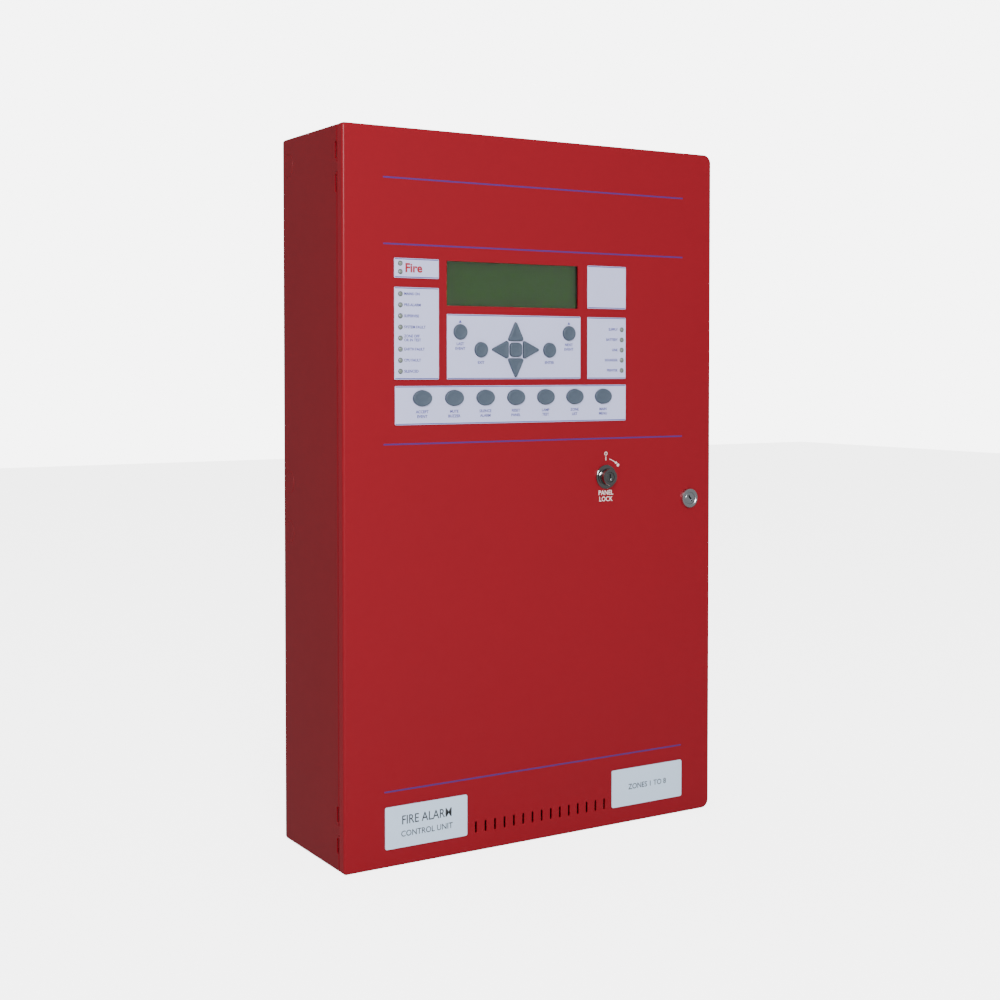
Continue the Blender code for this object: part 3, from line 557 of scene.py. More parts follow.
class Bench:
    """The modelling steps that every sub-assembly shares, done with Blender's own operators."""

    @staticmethod
    def put_down() -> None:
        """Leaves edit mode and deselects everything."""
        if bpy.context.mode != "OBJECT":
            bpy.ops.object.mode_set(mode="OBJECT")
        bpy.ops.object.select_all(action="DESELECT")

    @classmethod
    def pick_up(cls, piece: Piece) -> None:
        """Selects one piece and makes it active."""
        cls.put_down()
        piece.select_set(True)
        bpy.context.view_layer.objects.active = piece

    @classmethod
    def fix_place(cls, name: str) -> Piece:
        """Names the new primitive and puts its place in its mesh.

        Args:
            name: The piece's name.

        Returns:
            The piece.
        """
        piece = bpy.context.active_object
        piece.name = name
        piece.data.name = name
        bpy.ops.object.transform_apply(location=True, rotation=True, scale=True)
        return piece

    @classmethod
    def block(cls, name: str, low: Sequence[float], high: Sequence[float]) -> Piece:
        """A cube primitive brought to size between two corners.

        Args:
            name: The piece's name.
            low: Its lowest corner.
            high: Its highest corner.

        Returns:
            The piece.
        """
        cls.put_down()
        low, high = Vector(low), Vector(high)
        bpy.ops.mesh.primitive_cube_add(size=1, location=(low + high) / 2, scale=high - low)
        return cls.fix_place(name)

    @classmethod
    def _open(cls, piece: Piece, kind: str) -> bmesh.types.BMesh:
        """Opens edit mode on one kind of element, with nothing selected."""
        cls.pick_up(piece)
        bpy.ops.object.mode_set(mode="EDIT")
        bpy.ops.mesh.select_mode(type=kind)
        bpy.ops.mesh.select_all(action="DESELECT")
        return bmesh.from_edit_mesh(piece.data)

    @staticmethod
    def face_out() -> None:
        """Turns all the faces in edit mode outwards."""
        bpy.ops.mesh.select_all(action="SELECT")
        bpy.ops.mesh.normals_make_consistent(inside=False)

    @classmethod
    def turn(cls, piece: Piece, angle: float, pivot: Sequence[float]) -> None:
        """Turns a whole piece about a front-to-back axis through a point."""
        cls.pick_up(piece)
        bpy.ops.object.mode_set(mode="EDIT")
        bpy.ops.mesh.select_all(action="SELECT")
        bpy.ops.transform.rotate(value=angle, orient_axis="Y", center_override=pivot)
        cls.put_down()

    @classmethod
    def pick_faces(
        cls, piece: Piece, side: Side | None, test: Callable[[Vector], bool] = lambda centre: True
    ) -> None:
        """Opens edit mode with the faces that look one way, and whose centres pass a test, selected."""
        cage = cls._open(piece, "FACE")
        for face in cage.faces:
            looks = side is None or face.normal.dot(Vector(side.value)) > 0.99
            if looks and test(face.calc_center_median()):
                face.select_set(True)
        bmesh.update_edit_mesh(piece.data)

    @classmethod
    def pick_edges(
        cls, piece: Piece, along: int, test: Callable[[Vector], bool] = lambda centre: True
    ) -> None:
        """Opens edit mode with the edges that run along one axis, and whose middles pass a test, selected."""
        cage = cls._open(piece, "EDGE")
        for edge in cage.edges:
            run = edge.verts[1].co - edge.verts[0].co
            if abs(run[along]) > 0.99 * run.length and test((edge.verts[0].co + edge.verts[1].co) / 2):
                edge.select_set(True)
        bmesh.update_edit_mesh(piece.data)

    @staticmethod
    def bevel(width: float, steps: int, corners: bool = False) -> None:
        """Bevels what is selected in edit mode."""
        bpy.ops.mesh.bevel(offset=width, segments=steps, affect="VERTICES" if corners else "EDGES")

    @classmethod
    def pick_points(cls, piece: Piece, test: Callable[[Vector], bool]) -> None:
        """Opens edit mode with the vertices that pass a test selected."""
        cage = cls._open(piece, "VERT")
        for vertex in cage.verts:
            if test(vertex.co):
                vertex.select_set(True)
        cage.select_flush(True)
        bmesh.update_edit_mesh(piece.data)

    @staticmethod
    def draw_out(pivot: Place, depth: float, travel: float, scale: Place) -> None:
        """Extrudes the selected face front to back, and scales it about a point.

        Args:
            pivot: The point that it scales about, across and up.
            depth: The depth that it arrives at.
            travel: How far it moves.
            scale: The change in width and in height.
        """
        bpy.ops.mesh.extrude_region_move(TRANSFORM_OT_translate={"value": (0, travel, 0)})
        if scale != (1.0, 1.0):
            bpy.ops.transform.resize(
                value=(scale[0], 1, scale[1]), center_override=(pivot[0], depth, pivot[1])
            )

    @classmethod
    def stepped(cls, name: str, shape: Shape, sections: Sequence[Place]) -> Piece:
        """A closed body drawn out through sections, each a growth of the outline and a depth.

        Args:
            name: The piece's name.
            shape: Its outline.
            sections: (growth, depth) pairs.

        Returns:
            The piece.
        """
        grow, depth = sections[0]
        piece = shape.laid(name, depth)
        pivot = shape.pivot()
        now = shape.scale(grow)
        bpy.ops.transform.resize(value=(now[0], 1, now[1]), center_override=(pivot[0], depth, pivot[1]))
        for grow, arrives in sections[1:]:
            then = shape.scale(grow)
            cls.draw_out(pivot, arrives, arrives - depth, (then[0] / now[0], then[1] / now[1]))
            now, depth = then, arrives
        cls.face_out()
        cls.put_down()
        return piece

    @classmethod
    def sheet(cls, name: str, depth: float, half: Place, radii: Place, steps: int) -> Piece:
        """A flat face across the panel, with rounded corners.

        Args:
            name: The piece's name.
            depth: Where it lies, front to back.
            half: Half its width and half its height.
            radii: The radius of the corners at the hinges, and of those at the free edge.
            steps: How many steps a corner takes.

        Returns:
            The flat piece.
        """
        cls.put_down()
        bpy.ops.mesh.primitive_plane_add(size=2, location=(0, depth, 0), rotation=(math.pi / 2, 0, 0))
        piece = cls.fix_place(name)
        cls.pick_points(piece, lambda spot: True)
        bpy.ops.transform.resize(value=(half[0], 1, half[1]), center_override=(0, depth, 0))
        for sign, radius in zip((-1, 1), radii):
            cls.pick_points(piece, lambda spot, s=sign: spot.x * s > half[0] - 0.001)
            cls.bevel(radius, steps, corners=True)
        return piece

    @staticmethod
    def quarter(radius: float, steps: int) -> list[Place]:
        """A quarter round's steps: how far each is in from the side, and how far from the bend's end."""
        turns = [math.radians(90 / steps * step) for step in range(steps + 1)]
        return [(radius * (1 - math.cos(turn)), radius * (1 - math.sin(turn))) for turn in turns]

    @classmethod
    def fold(cls, half: Place, depth: float, steps: Iterable[Place]) -> None:
        """Draws the selected face of a sheet out through the steps of a folded edge.

        Args:
            half: Half the sheet's width and half its height.
            depth: Where the face lies.
            steps: (inset, depth) pairs.
        """
        now = (1.0, 1.0)
        for inset, arrives in steps:
            then = ((half[0] - inset) / half[0], (half[1] - inset) / half[1])
            cls.draw_out((0, 0), arrives, arrives - depth, (then[0] / now[0], then[1] / now[1]))
            now, depth = then, arrives

    @classmethod
    def turned(cls, name: str, centre: Place, profile: Sequence[Place], sides: int = 48) -> Piece:
        """A body of revolution about a front-to-back axis.

        Args:
            name: The piece's name.
            centre: Its axis, across and up.
            profile: (radius, depth) pairs.
            sides: How many sides it has.

        Returns:
            The piece.
        """
        base = profile[0][0]
        shape = Shape(Outline.OVAL, centre, (base, base), sides=sides)
        return cls.stepped(name, shape, [(radius - base, depth) for radius, depth in profile])

    @classmethod
    def copies(cls, name: str, model: Piece, moves: Iterable[Sequence[float]]) -> Piece:
        """Copies of a model at several places, joined into one piece; the model is thrown away.

        Args:
            name: The piece's name.
            model: The piece to copy.
            moves: How far each copy is from the model.

        Returns:
            The copies.
        """
        made = []
        for move in moves:
            copy = model.copy()
            copy.data = model.data.copy()
            bpy.context.scene.collection.objects.link(copy)
            copy.location = move
            cls.pick_up(copy)
            bpy.ops.object.transform_apply(location=True, rotation=True, scale=True)
            made.append(copy)
        bpy.data.objects.remove(model, do_unlink=True)
        return cls.join(name, made)

    @classmethod
    def join(cls, name: str, pieces: Iterable[Piece]) -> Piece:
        """Joins pieces into one, under a new name."""
        pieces = list(pieces)
        cls.put_down()
        for piece in pieces:
            piece.select_set(True)
        bpy.context.view_layer.objects.active = pieces[0]
        if len(pieces) > 1:
            bpy.ops.object.join()
        pieces[0].name = name
        pieces[0].data.name = name
        return pieces[0]

    @classmethod
    def combine(cls, piece: Piece, tools: Iterable[Piece], operation: str = "DIFFERENCE") -> Piece:
        """Cuts tools out of a piece, adds them to it or keeps what they share, and throws the tools away.

        Args:
            piece: The piece to work on.
            tools: Closed bodies.
            operation: DIFFERENCE, UNION or INTERSECT.

        Returns:
            The piece.
        """
        tool = cls.join(f"{piece.name}_tool", tools)
        cls.apply(piece, "BOOLEAN", operation=operation, solver="EXACT", use_self=True, object=tool)
        bpy.data.objects.remove(tool, do_unlink=True)
        return piece

    @classmethod
    def apply(cls, piece: Piece, kind: str, **settings: object) -> Piece:
        """Adds a modifier with its settings and applies it.

        Args:
            piece: The piece.
            kind: The modifier's type.
            **settings: Its properties.

        Returns:
            The piece.
        """
        modifier = piece.modifiers.new("work", kind)
        for word, value in settings.items():
            setattr(modifier, word, value)
        cls.pick_up(piece)
        bpy.ops.object.modifier_apply(modifier=modifier.name)
        return piece

    @classmethod
    def soften(cls, piece: Piece, width: float, steps: int = 2, angle: float = 50.0) -> Piece:
        """Rounds a piece's sharp edges by a small bevel."""
        return cls.apply(
            piece, "BEVEL", width=width, segments=steps, limit_method="ANGLE", angle_limit=math.radians(
                angle
            ),
            use_clamp_overlap=True,
        )

    @classmethod
    def hand_over(
        cls, piece: Piece, body: str, finish: Finish, slot: str, replaced: Sequence[
            str
        ] = (), smooth: float = 40.0
    ) -> Piece:
        """Shades, paints and mounts a finished piece on its body.

        Args:
            piece: The finished piece.
            body: The body that it moves with.
            finish: Its finish.
            slot: Not used.
            replaced: The frame's nodes that it stands for.
            smooth: The largest angle, in degrees, that is shaded smooth.

        Returns:
            The piece.
        """
        cls.pick_up(piece)
        bpy.ops.object.shade_smooth_by_angle(angle=math.radians(smooth))
        cls.apply(piece, "WEIGHTED_NORMAL", keep_sharp=True, weight=100)
        piece.data.materials.clear()
        piece.data.materials.append(finish.material())
        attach(piece, body)
        if replaced:
            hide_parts(*replaced)
        LOG.info("%s rides on %s, in %s", piece.name, body, finish.name)
        return piece

    @staticmethod
    def repaint(node: str, finish: Finish, slot: str) -> None:
        """Gives one of the frame's own nodes a finish."""
        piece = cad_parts[node]
        piece.data.materials.clear()
        piece.data.materials.append(finish.material())
        LOG.info("%s keeps its shape, in %s", node, finish.name)


@dataclass(frozen=True)
class Lettering:
    """Printed words: their size, spacing and thickness of ink."""

    height: float
    ink: float = 0.00006
    bold: float = 0.0
    wide: float = 1.0

    def words(self, name: str, text: str, anchor: Place, face: float, align: str = "LEFT") -> Piece:
        """Sets words on the door's plane.

        Args:
            name: The piece's name.
            text: The words.
            anchor: Where the line starts, ends or has its middle, and its base line.
            face: The depth of the surface that they are printed on.
            align: LEFT, CENTER or RIGHT.

        Returns:
            The words as a closed mesh.
        """
        Bench.put_down()
        bpy.ops.object.text_add()
        piece = bpy.context.active_object
        piece.data.body = text
        piece.data.size = self.height / 0.70
        piece.data.align_x = align
        piece.data.extrude = self.ink
        piece.data.offset = self.bold * self.height
        piece.data.resolution_u = 3
        bpy.ops.object.convert(target="MESH")
        piece = bpy.context.active_object
        piece.scale.x = self.wide
        piece.rotation_euler = (math.pi / 2, 0, 0)
        piece.location = (anchor[0], face - self.ink, anchor[1])
        return Bench.fix_place(name)


def middle_of(node: str) -> Place:
    """The middle of a node, across and up."""
    low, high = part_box(node)
    return ((low.x + high.x) / 2, (low.z + high.z) / 2)


def half_of(node: str) -> Place:
    """Half the width and half the height of a node."""
    low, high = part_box(node)
    return ((high.x - low.x) / 2, (high.z - low.z) / 2)


@dataclass
class Fastener:
    """A pan-head screw with a cross recess, seen from its head."""

    radius: float = 0.0032
    proud: float = 0.0019

    def head(self, name: str, centre: Place, face: float, towards: float = -1.0) -> Piece:
        """One screw head.

        Args:
            name: The piece's name.
            centre: Its place, across and up.
            face: The depth of the surface it sits on.
            towards: -1 if it faces the front, 1 if it faces the wall.

        Returns:
            The screw head.
        """
        rise = self.proud * towards
        crown = self.radius * 0.55
        profile = (
            (self.radius, face), (self.radius, face + rise * 0.45), (self.radius * 0.88, face + rise * 0.8)
        )
        tip = face + rise
        piece = Bench.turned(name, centre, (*profile, (crown, tip)), 24)
        front, rear = sorted((tip - rise * 0.6, tip + rise * 0.3))
        slim = self.radius * 0.12
        bars = [
            Bench.block(
                f"{name}_bar",
                (centre[0] - wide, front, centre[1] - tall),
                (centre[0] + wide, rear, centre[1] + tall),
            )
            for wide, tall in ((crown, slim), (slim, crown))
        ]
        return Bench.combine(piece, bars)

    def fit(self, name: str, body: str, places: Iterable[Place], face: float, towards: float = -1.0) -> None:
        """Fits a screw head at each of several places, all of them one zinc-plated piece.

        Args:
            name: The piece's name.
            body: The body that they move with.
            places: Where the screws are.
            face: The depth of the surface they sit on.
            towards: -1 if they face the front, 1 if they face the wall.
        """
        model = self.head(f"{name}_model", (0.0, 0.0), face, towards)
        screws = Bench.copies(name, model, [(x, 0, z) for x, z in places])
        Bench.hand_over(screws, body, ZINC, "zinc_steel", smooth=35)


@dataclass
class CabinetShell:
    """The wall box: a folded sheet pan with a front lip, hinge slots, knockouts and keyholes."""

    half: Place = (0.2167, 0.3497)
    front: float = -0.1342
    lip: float = 0.012
    sheet: float = 0.0015
    rear_round: float = 0.011
    front_fold: float = 0.0032
    hinge_corner: float = 0.002
    free_corner: float = 0.0082
    bend_steps: int = 6
    fold_steps: int = 5
    hinge_height: float = 0.310
    notch: tuple[Place, Place, float] = ((-0.2149, -0.2032), (-0.137, -0.1307), 0.026)
    slot_depth: float = -0.1304
    slot_spans: tuple[Place, ...] = (
        (0.3177, 0.334), (0.2864, 0.3036), (-0.3031, -0.2879), (-0.3328, -0.3177)
    )
    keyholes: tuple[Place, ...] = ((-0.165, 0.322), (0.165, 0.322), (-0.165, -0.164), (0.165, -0.164))

    def build(self) -> None:
        """Builds the shell with its cuts, and the embossed hinge fixings on its left side."""
        shell = self._folded()
        Bench.combine(shell, self._cuts())
        Bench.combine(shell, self._knockout_grooves())
        Bench.soften(shell, 0.00025, 1, 60)
        # The case's darker red is painted shade.
        Bench.hand_over(shell, "cabinet", ENAMEL_CASE_SHADED, "red_enamel_box", ["back_box"], 35)
        Bench.hand_over(self._rivets(), "cabinet", ENAMEL_CASE_SHADED, "red_enamel_box")

    def _folded(self) -> Piece:
        """The pan, drawn back from its front edge, with its lip and the sheet's thickness."""
        radii = (self.hinge_corner, self.free_corner)
        shell = Bench.sheet("cabinet_shell", self.front, self.half, radii, self.bend_steps)
        Bench.pick_points(shell, lambda spot: True)
        bpy.ops.transform.translate(value=(0, self.front_fold, 0))
        Bench.pick_faces(shell, None)
        start = self.front + self.front_fold
        rear = [(inset, -rest) for inset, rest in Bench.quarter(self.rear_round, self.bend_steps)]
        Bench.fold(self.half, start, rear)
        Bench.face_out()
        Bench.pick_faces(shell, Side.FRONT, lambda centre: abs(centre.x) < 0.05 and abs(centre.z) < 0.05)
        front = [
            (inset, self.front + rest)
            for inset, rest in Bench.quarter(self.front_fold, self.fold_steps)
        ]
        Bench.fold(self.half, start, [*front[1:], (self.lip, self.front)])
        bpy.ops.mesh.delete(type="FACE")
        bpy.ops.object.mode_set(mode="OBJECT")
        return Bench.apply(shell, "SOLIDIFY", thickness=self.sheet, offset=-1.0, use_even_offset=True)

    def _cuts(self) -> list[Piece]:
        """The tools for the hinge notches, the side slots and the keyholes."""
        (left, right), (front, rear), tall = self.notch
        tools = [
            Bench.block(f"notch{sign}", (left, front, middle - tall), (right, rear, middle + tall))
            for sign, middle in ((-1, -self.hinge_height), (1, self.hinge_height))
        ]
        for low, high in self.slot_spans:
            slot = Bench.block(
                "slot", (-0.222, self.slot_depth - 0.0018, low), (-0.205, self.slot_depth + 0.0018, high)
            )
            Bench.pick_edges(slot, 0)
            Bench.bevel(0.0017, 4)
            tools.append(slot)
        for x, z in self.keyholes:
            tools.append(Bench.turned("keyhole", (x, z), ((0.0055, -0.006), (0.0055, 0.004)), 32))
            neck = Bench.block("neck", (x - 0.00275, -0.0062, z), (x + 0.00275, 0.0042, z + 0.0133))
            Bench.pick_edges(neck, 1, lambda middle, top=z + 0.013: middle.z > top)
            Bench.bevel(0.0026, 4)
            tools.append(neck)
        Bench.put_down()
        return tools

    def _knockout_grooves(self) -> list[Piece]:
        """The tools for the part-punched rings of the cable entries, on the left side, top and foot."""
        tools = []
        places = [((-self.half[0], -0.021, z), (0, math.pi / 2, 0), 0.0112) for z in (0.323, 0.010, -0.039)]
        for sign in (-1, 1):
            places += [
                ((x, -0.060, sign * self.half[1]), (0, 0, 0), radius)
                for x in (-0.135, -0.045, 0.045, 0.135)
                for radius in (0.0112, 0.0144)
            ]
        for place, turn, radius in places:
            Bench.put_down()
            bpy.ops.mesh.primitive_torus_add(
                location=place, rotation=turn, major_radius=radius, minor_radius=0.00035,
                major_segments=48, minor_segments=6,
            )
            tools.append(Bench.fix_place("groove"))
        return tools

    def _rivets(self) -> Piece:
        """The flat embossed pads, one between the slots of each hinge."""
        pads = []
        for z in (self.hinge_height, -self.hinge_height):
            pad = Bench.block(
                "pad", (-0.21695, self.slot_depth - 0.006, z - 0.0045),
                (-0.2163, self.slot_depth + 0.006, z + 0.0045),
            )
            Bench.pick_edges(pad, 0)
            Bench.bevel(0.0022, 4)
            Bench.pick_faces(pad, Side.LEFT)
            bpy.ops.mesh.bevel(offset=0.0005, segments=3, affect="EDGES")
            Bench.put_down()
            pads.append(pad)
        return Bench.join("hinge_pads", pads)


@dataclass
class DoorSkin:
    """The door's folded pan, with every hole cut through it, and its printed stripes."""

    half: Place = (0.217, 0.350)
    front: float = -0.145
    sheet: float = 0.0015
    rim: float = -0.135
    bend: float = 0.0025
    bend_steps: int = 6
    corner_steps: int = 7
    hinge_corner: float = 0.003
    free_corner: float = 0.0085
    window: tuple[Place, Place] = ((-0.1068, 0.1833), (0.0454, 0.2262))
    vent_first: float = -0.0745
    vent_pitch: float = 0.01097
    vent_height: float = -0.32615
    vents: int = 15
    stripe_heights: Place = (0.302, 0.240, 0.0515, -0.2775)
    stripe_span: Place = (-0.175, 0.1785)
    stripe_width: float = 0.0015

    def build(self, holes: Sequence[Piece]) -> None:
        """Builds the pan and prints its stripes.

        Args:
            holes: The tools that the other parts on the door want cut through it.
        """
        skin = self._folded()
        Bench.combine(skin, [*holes, self._window_tool(), *self._vent_tools()])
        Bench.soften(skin, 0.00022, 2, 60)
        Bench.hand_over(skin, "door", ENAMEL, "red_enamel", ["door_panel"], 35)
        Bench.hand_over(self._stripes(), "door", STRIPE_INK, "red_enamel")

    def _folded(self) -> Piece:
        """The pan with its bent edges and the sheet's thickness."""
        radii = (self.hinge_corner, self.free_corner)
        skin = Bench.sheet("door_skin", self.rim, self.half, radii, self.corner_steps)
        Bench.pick_faces(skin, None)
        bends = Bench.quarter(self.bend, self.bend_steps)
        Bench.fold(self.half, self.rim, [(inset, self.front + rest) for inset, rest in bends])
        Bench.face_out()
        Bench.pick_faces(skin, Side.BACK)
        bpy.ops.mesh.delete(type="FACE")
        bpy.ops.object.mode_set(mode="OBJECT")
        return Bench.apply(skin, "SOLIDIFY", thickness=self.sheet, offset=-1.0, use_even_offset=True)

    def _window_tool(self) -> Piece:
        """The tool for the display's opening."""
        (left, low), (right, high) = self.window
        tool = Bench.block("window_tool", (left, -0.155, low), (right, -0.14, high))
        Bench.pick_edges(tool, 1)
        Bench.bevel(0.0008, 3)
        Bench.put_down()
        return tool

    def _vent_tools(self) -> list[Piece]:
        """The tools for the row of vent slots at the foot."""
        model = Bench.block(
            "vent", (
                -0.00115, -0.155, self.vent_height - 0.00565
            ), (0.00115, -0.14, self.vent_height + 0.00565)
        )
        Bench.pick_edges(model, 1)
        Bench.bevel(0.0011, 4)
        Bench.put_down()
        moves = [(self.vent_first + i * self.vent_pitch, 0, 0) for i in range(self.vents)]
        return [Bench.copies("vent_tools", model, moves)]

    def _stripes(self) -> Piece:
        """The thin printed stripes across the door."""
        rows = []
        for height in self.stripe_heights:
            low = (self.stripe_span[0], self.front - 0.00008, height - self.stripe_width / 2)
            high = (self.stripe_span[1], self.front + 0.0002, height + self.stripe_width / 2)
            rows.append(Bench.block("stripe", low, high))
        return Bench.join("door_stripes", rows)


@dataclass
class Keypad:
    """The sixteen rubber keys of the door, each dished, with a collar behind the sheet and a stem."""

    front: float = -0.1483
    cap_round: float = 0.0008
    collar: float = -0.1432
    stem_end: float = -0.1365
    gap: float = 0.0003
    round_half: Place = (0.00725, 0.00725)
    function_half: Place = (0.010, 0.0075)
    centre_half: float = 0.00675
    arrow_half: Place = (0.0094, 0.0098)
    arrow_reach: float = 0.0185

    def shapes(self) -> dict[str, Shape]:
        """Each key's outline, by the name of its node.

        Returns:
            The outlines.
        """
        made = {}
        for number in range(1, 8):
            name = f"function_button_{number}"
            made[name] = Shape(Outline.OVAL, middle_of(name), self.function_half, sides=48)
        for name in ("upper_left_button", "upper_right_button", "exit_button", "enter_button"):
            made[name] = Shape(Outline.OVAL, middle_of(name), self.round_half, sides=40)
        middle = middle_of("centre_button")
        made["centre_button"] = Shape(Outline.ROUNDED, middle, (self.centre_half, self.centre_half), 0.0035)
        directions = {"arrow_up_button": (0, 1), "arrow_left_button": (-1, 0), "arrow_down_button": (0, -1)}
        directions["arrow_right_button"] = (1, 0)
        for turns, (name, (right, high)) in enumerate(directions.items()):
            centre = (middle[0] + right * self.arrow_reach, middle[1] + high * self.arrow_reach)
            made[name] = Shape(Outline.ARROW, centre, self.arrow_half, 0.0031, turns)
        return made

    def build(self) -> None:
        """Builds every key and mounts it on its own body."""
        for name, shape in self.shapes().items():
            piece = Bench.stepped(f"{name}_cap", shape, self._sections())
            Bench.hand_over(piece, name, KEY_RUBBER, "key_rubber", [name], 50)

    def _sections(self) -> list[Place]:
        """The key's profile, from its stem's end over its rounded shoulder into the shallow dish."""
        profile = [(-0.0035, self.stem_end), (-0.0035, self.collar + 0.0008), (0.0006, self.collar + 0.0008)]
        profile += [(0.0006, self.collar), (0.0, self.collar), (0.0, self.front + self.cap_round)]
        for step in range(1, 5):
            angle = math.radians(22.5 * step)
            inset = -self.cap_round * 1.2 * (1 - math.cos(angle))
            profile.append((inset, self.front + self.cap_round * (1 - math.sin(angle))))
        profile += [(-0.0016, self.front + 0.00004), (-0.0024, self.front + 0.00022)]
        profile += [(-0.0034, self.front + 0.00050), (-0.0045, self.front + 0.00066)]
        return profile

    def tools(self, low: float, high: float) -> list[Piece]:
        """The tools that cut the keys' holes through a sheet.

        Args:
            low: The depth in front of the sheet.
            high: The depth behind it.

        Returns:
            One closed body for each key.
        """
        return [
            Bench.stepped(f"{name}_hole", shape, [(self.gap, low), (self.gap, high)])
            for name, shape in self.shapes().items()
        ]


@dataclass
class Lamps:
    """The signal lamps: clear domes in dark collars, whose dark colour is painted shade for the gap round
    each lens, standing on holders behind the door.
    """

    radius: float = 0.0021
    hole: float = 0.0025
    pitch: float = 0.01045
    column_left: float = -0.1574
    column_right: float = 0.0992
    starts: tuple[float, float, float] = (0.222, 0.1934, 0.1628)
    fire_pitch: float = 0.0079

    def places(self) -> dict[str, list[Place]]:
        """The middle of each lamp, by its bar's node."""
        left, right = self.column_left, self.column_right
        return {
            "fire_lamps": [(left, self.starts[0] - i * self.fire_pitch) for i in range(2)],
            "status_lamps": [(left, self.starts[1] - i * self.pitch) for i in range(8)],
            "trouble_lamps": [(right, self.starts[2] - i * self.pitch) for i in range(5)],
        }

    def build(self) -> None:
        """Builds the domes, collars and holders."""
        for node, places in self.places().items():
            moves = [(x, 0, z) for x, z in places]
            Bench.hand_over(
                Bench.copies(f"{node}_domes", self._dome(), moves), "door", LENS, "lamp_lens", [node], 60
            )
            # The collars' dark colour is painted shade for the gap round each lens.
            rings = Bench.copies(f"{node}_collars", self._shade_collar(), moves)
            Bench.hand_over(rings, "door", LAMP_GAP_SHADE, "black_plastic", smooth=50)
            low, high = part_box(node)
            bar = Bench.block(f"{node}_holder", (low.x, low.y + 0.004, low.z), (high.x, high.y, high.z))
            Bench.hand_over(Bench.soften(bar, 0.0006), "door", BLACK_PLASTIC, "black_plastic")

    def _dome(self) -> Piece:
        """One lamp's lens, with a rounded tip."""
        profile = [(self.radius, -0.141), (self.radius, -0.1458)]
        for step in range(1, 6):
            angle = math.radians(16 * step)
            profile.append((self.radius * math.cos(angle), -0.1458 - 0.0012 * math.sin(angle)))
        return Bench.turned("dome", (0, 0), profile, 24)

    def _shade_collar(self) -> Piece:
        """The dark ring in one lamp's hole, filling the gap round the lens: painted shade."""
        outer, inner = self.hole - 0.00005, self.radius + 0.00005
        profile = [
            (outer, -0.1425), (outer, -0.14605), (outer - 0.0001, -0.14615), (inner, -0.14605),
            (inner, -0.144),
        ]
        return Bench.turned("collar", (0, 0), profile, 24)

    def tools(self, low: float, high: float, nodes: Iterable[str]) -> list[Piece]:
        """The tools that cut the lamps' holes through a sheet.

        Args:
            low: The depth in front of the sheet.
            high: The depth behind it.
            nodes: Which groups of lamps.

        Returns:
            The tools.
        """
        spots = [spot for node in nodes for spot in self.places()[node]]
        model = Bench.turned("lamp_hole", (0, 0), ((self.hole, low), (self.hole, high)), 24)
        return [Bench.copies("lamp_holes", model, [(x, 0, z) for x, z in spots])]


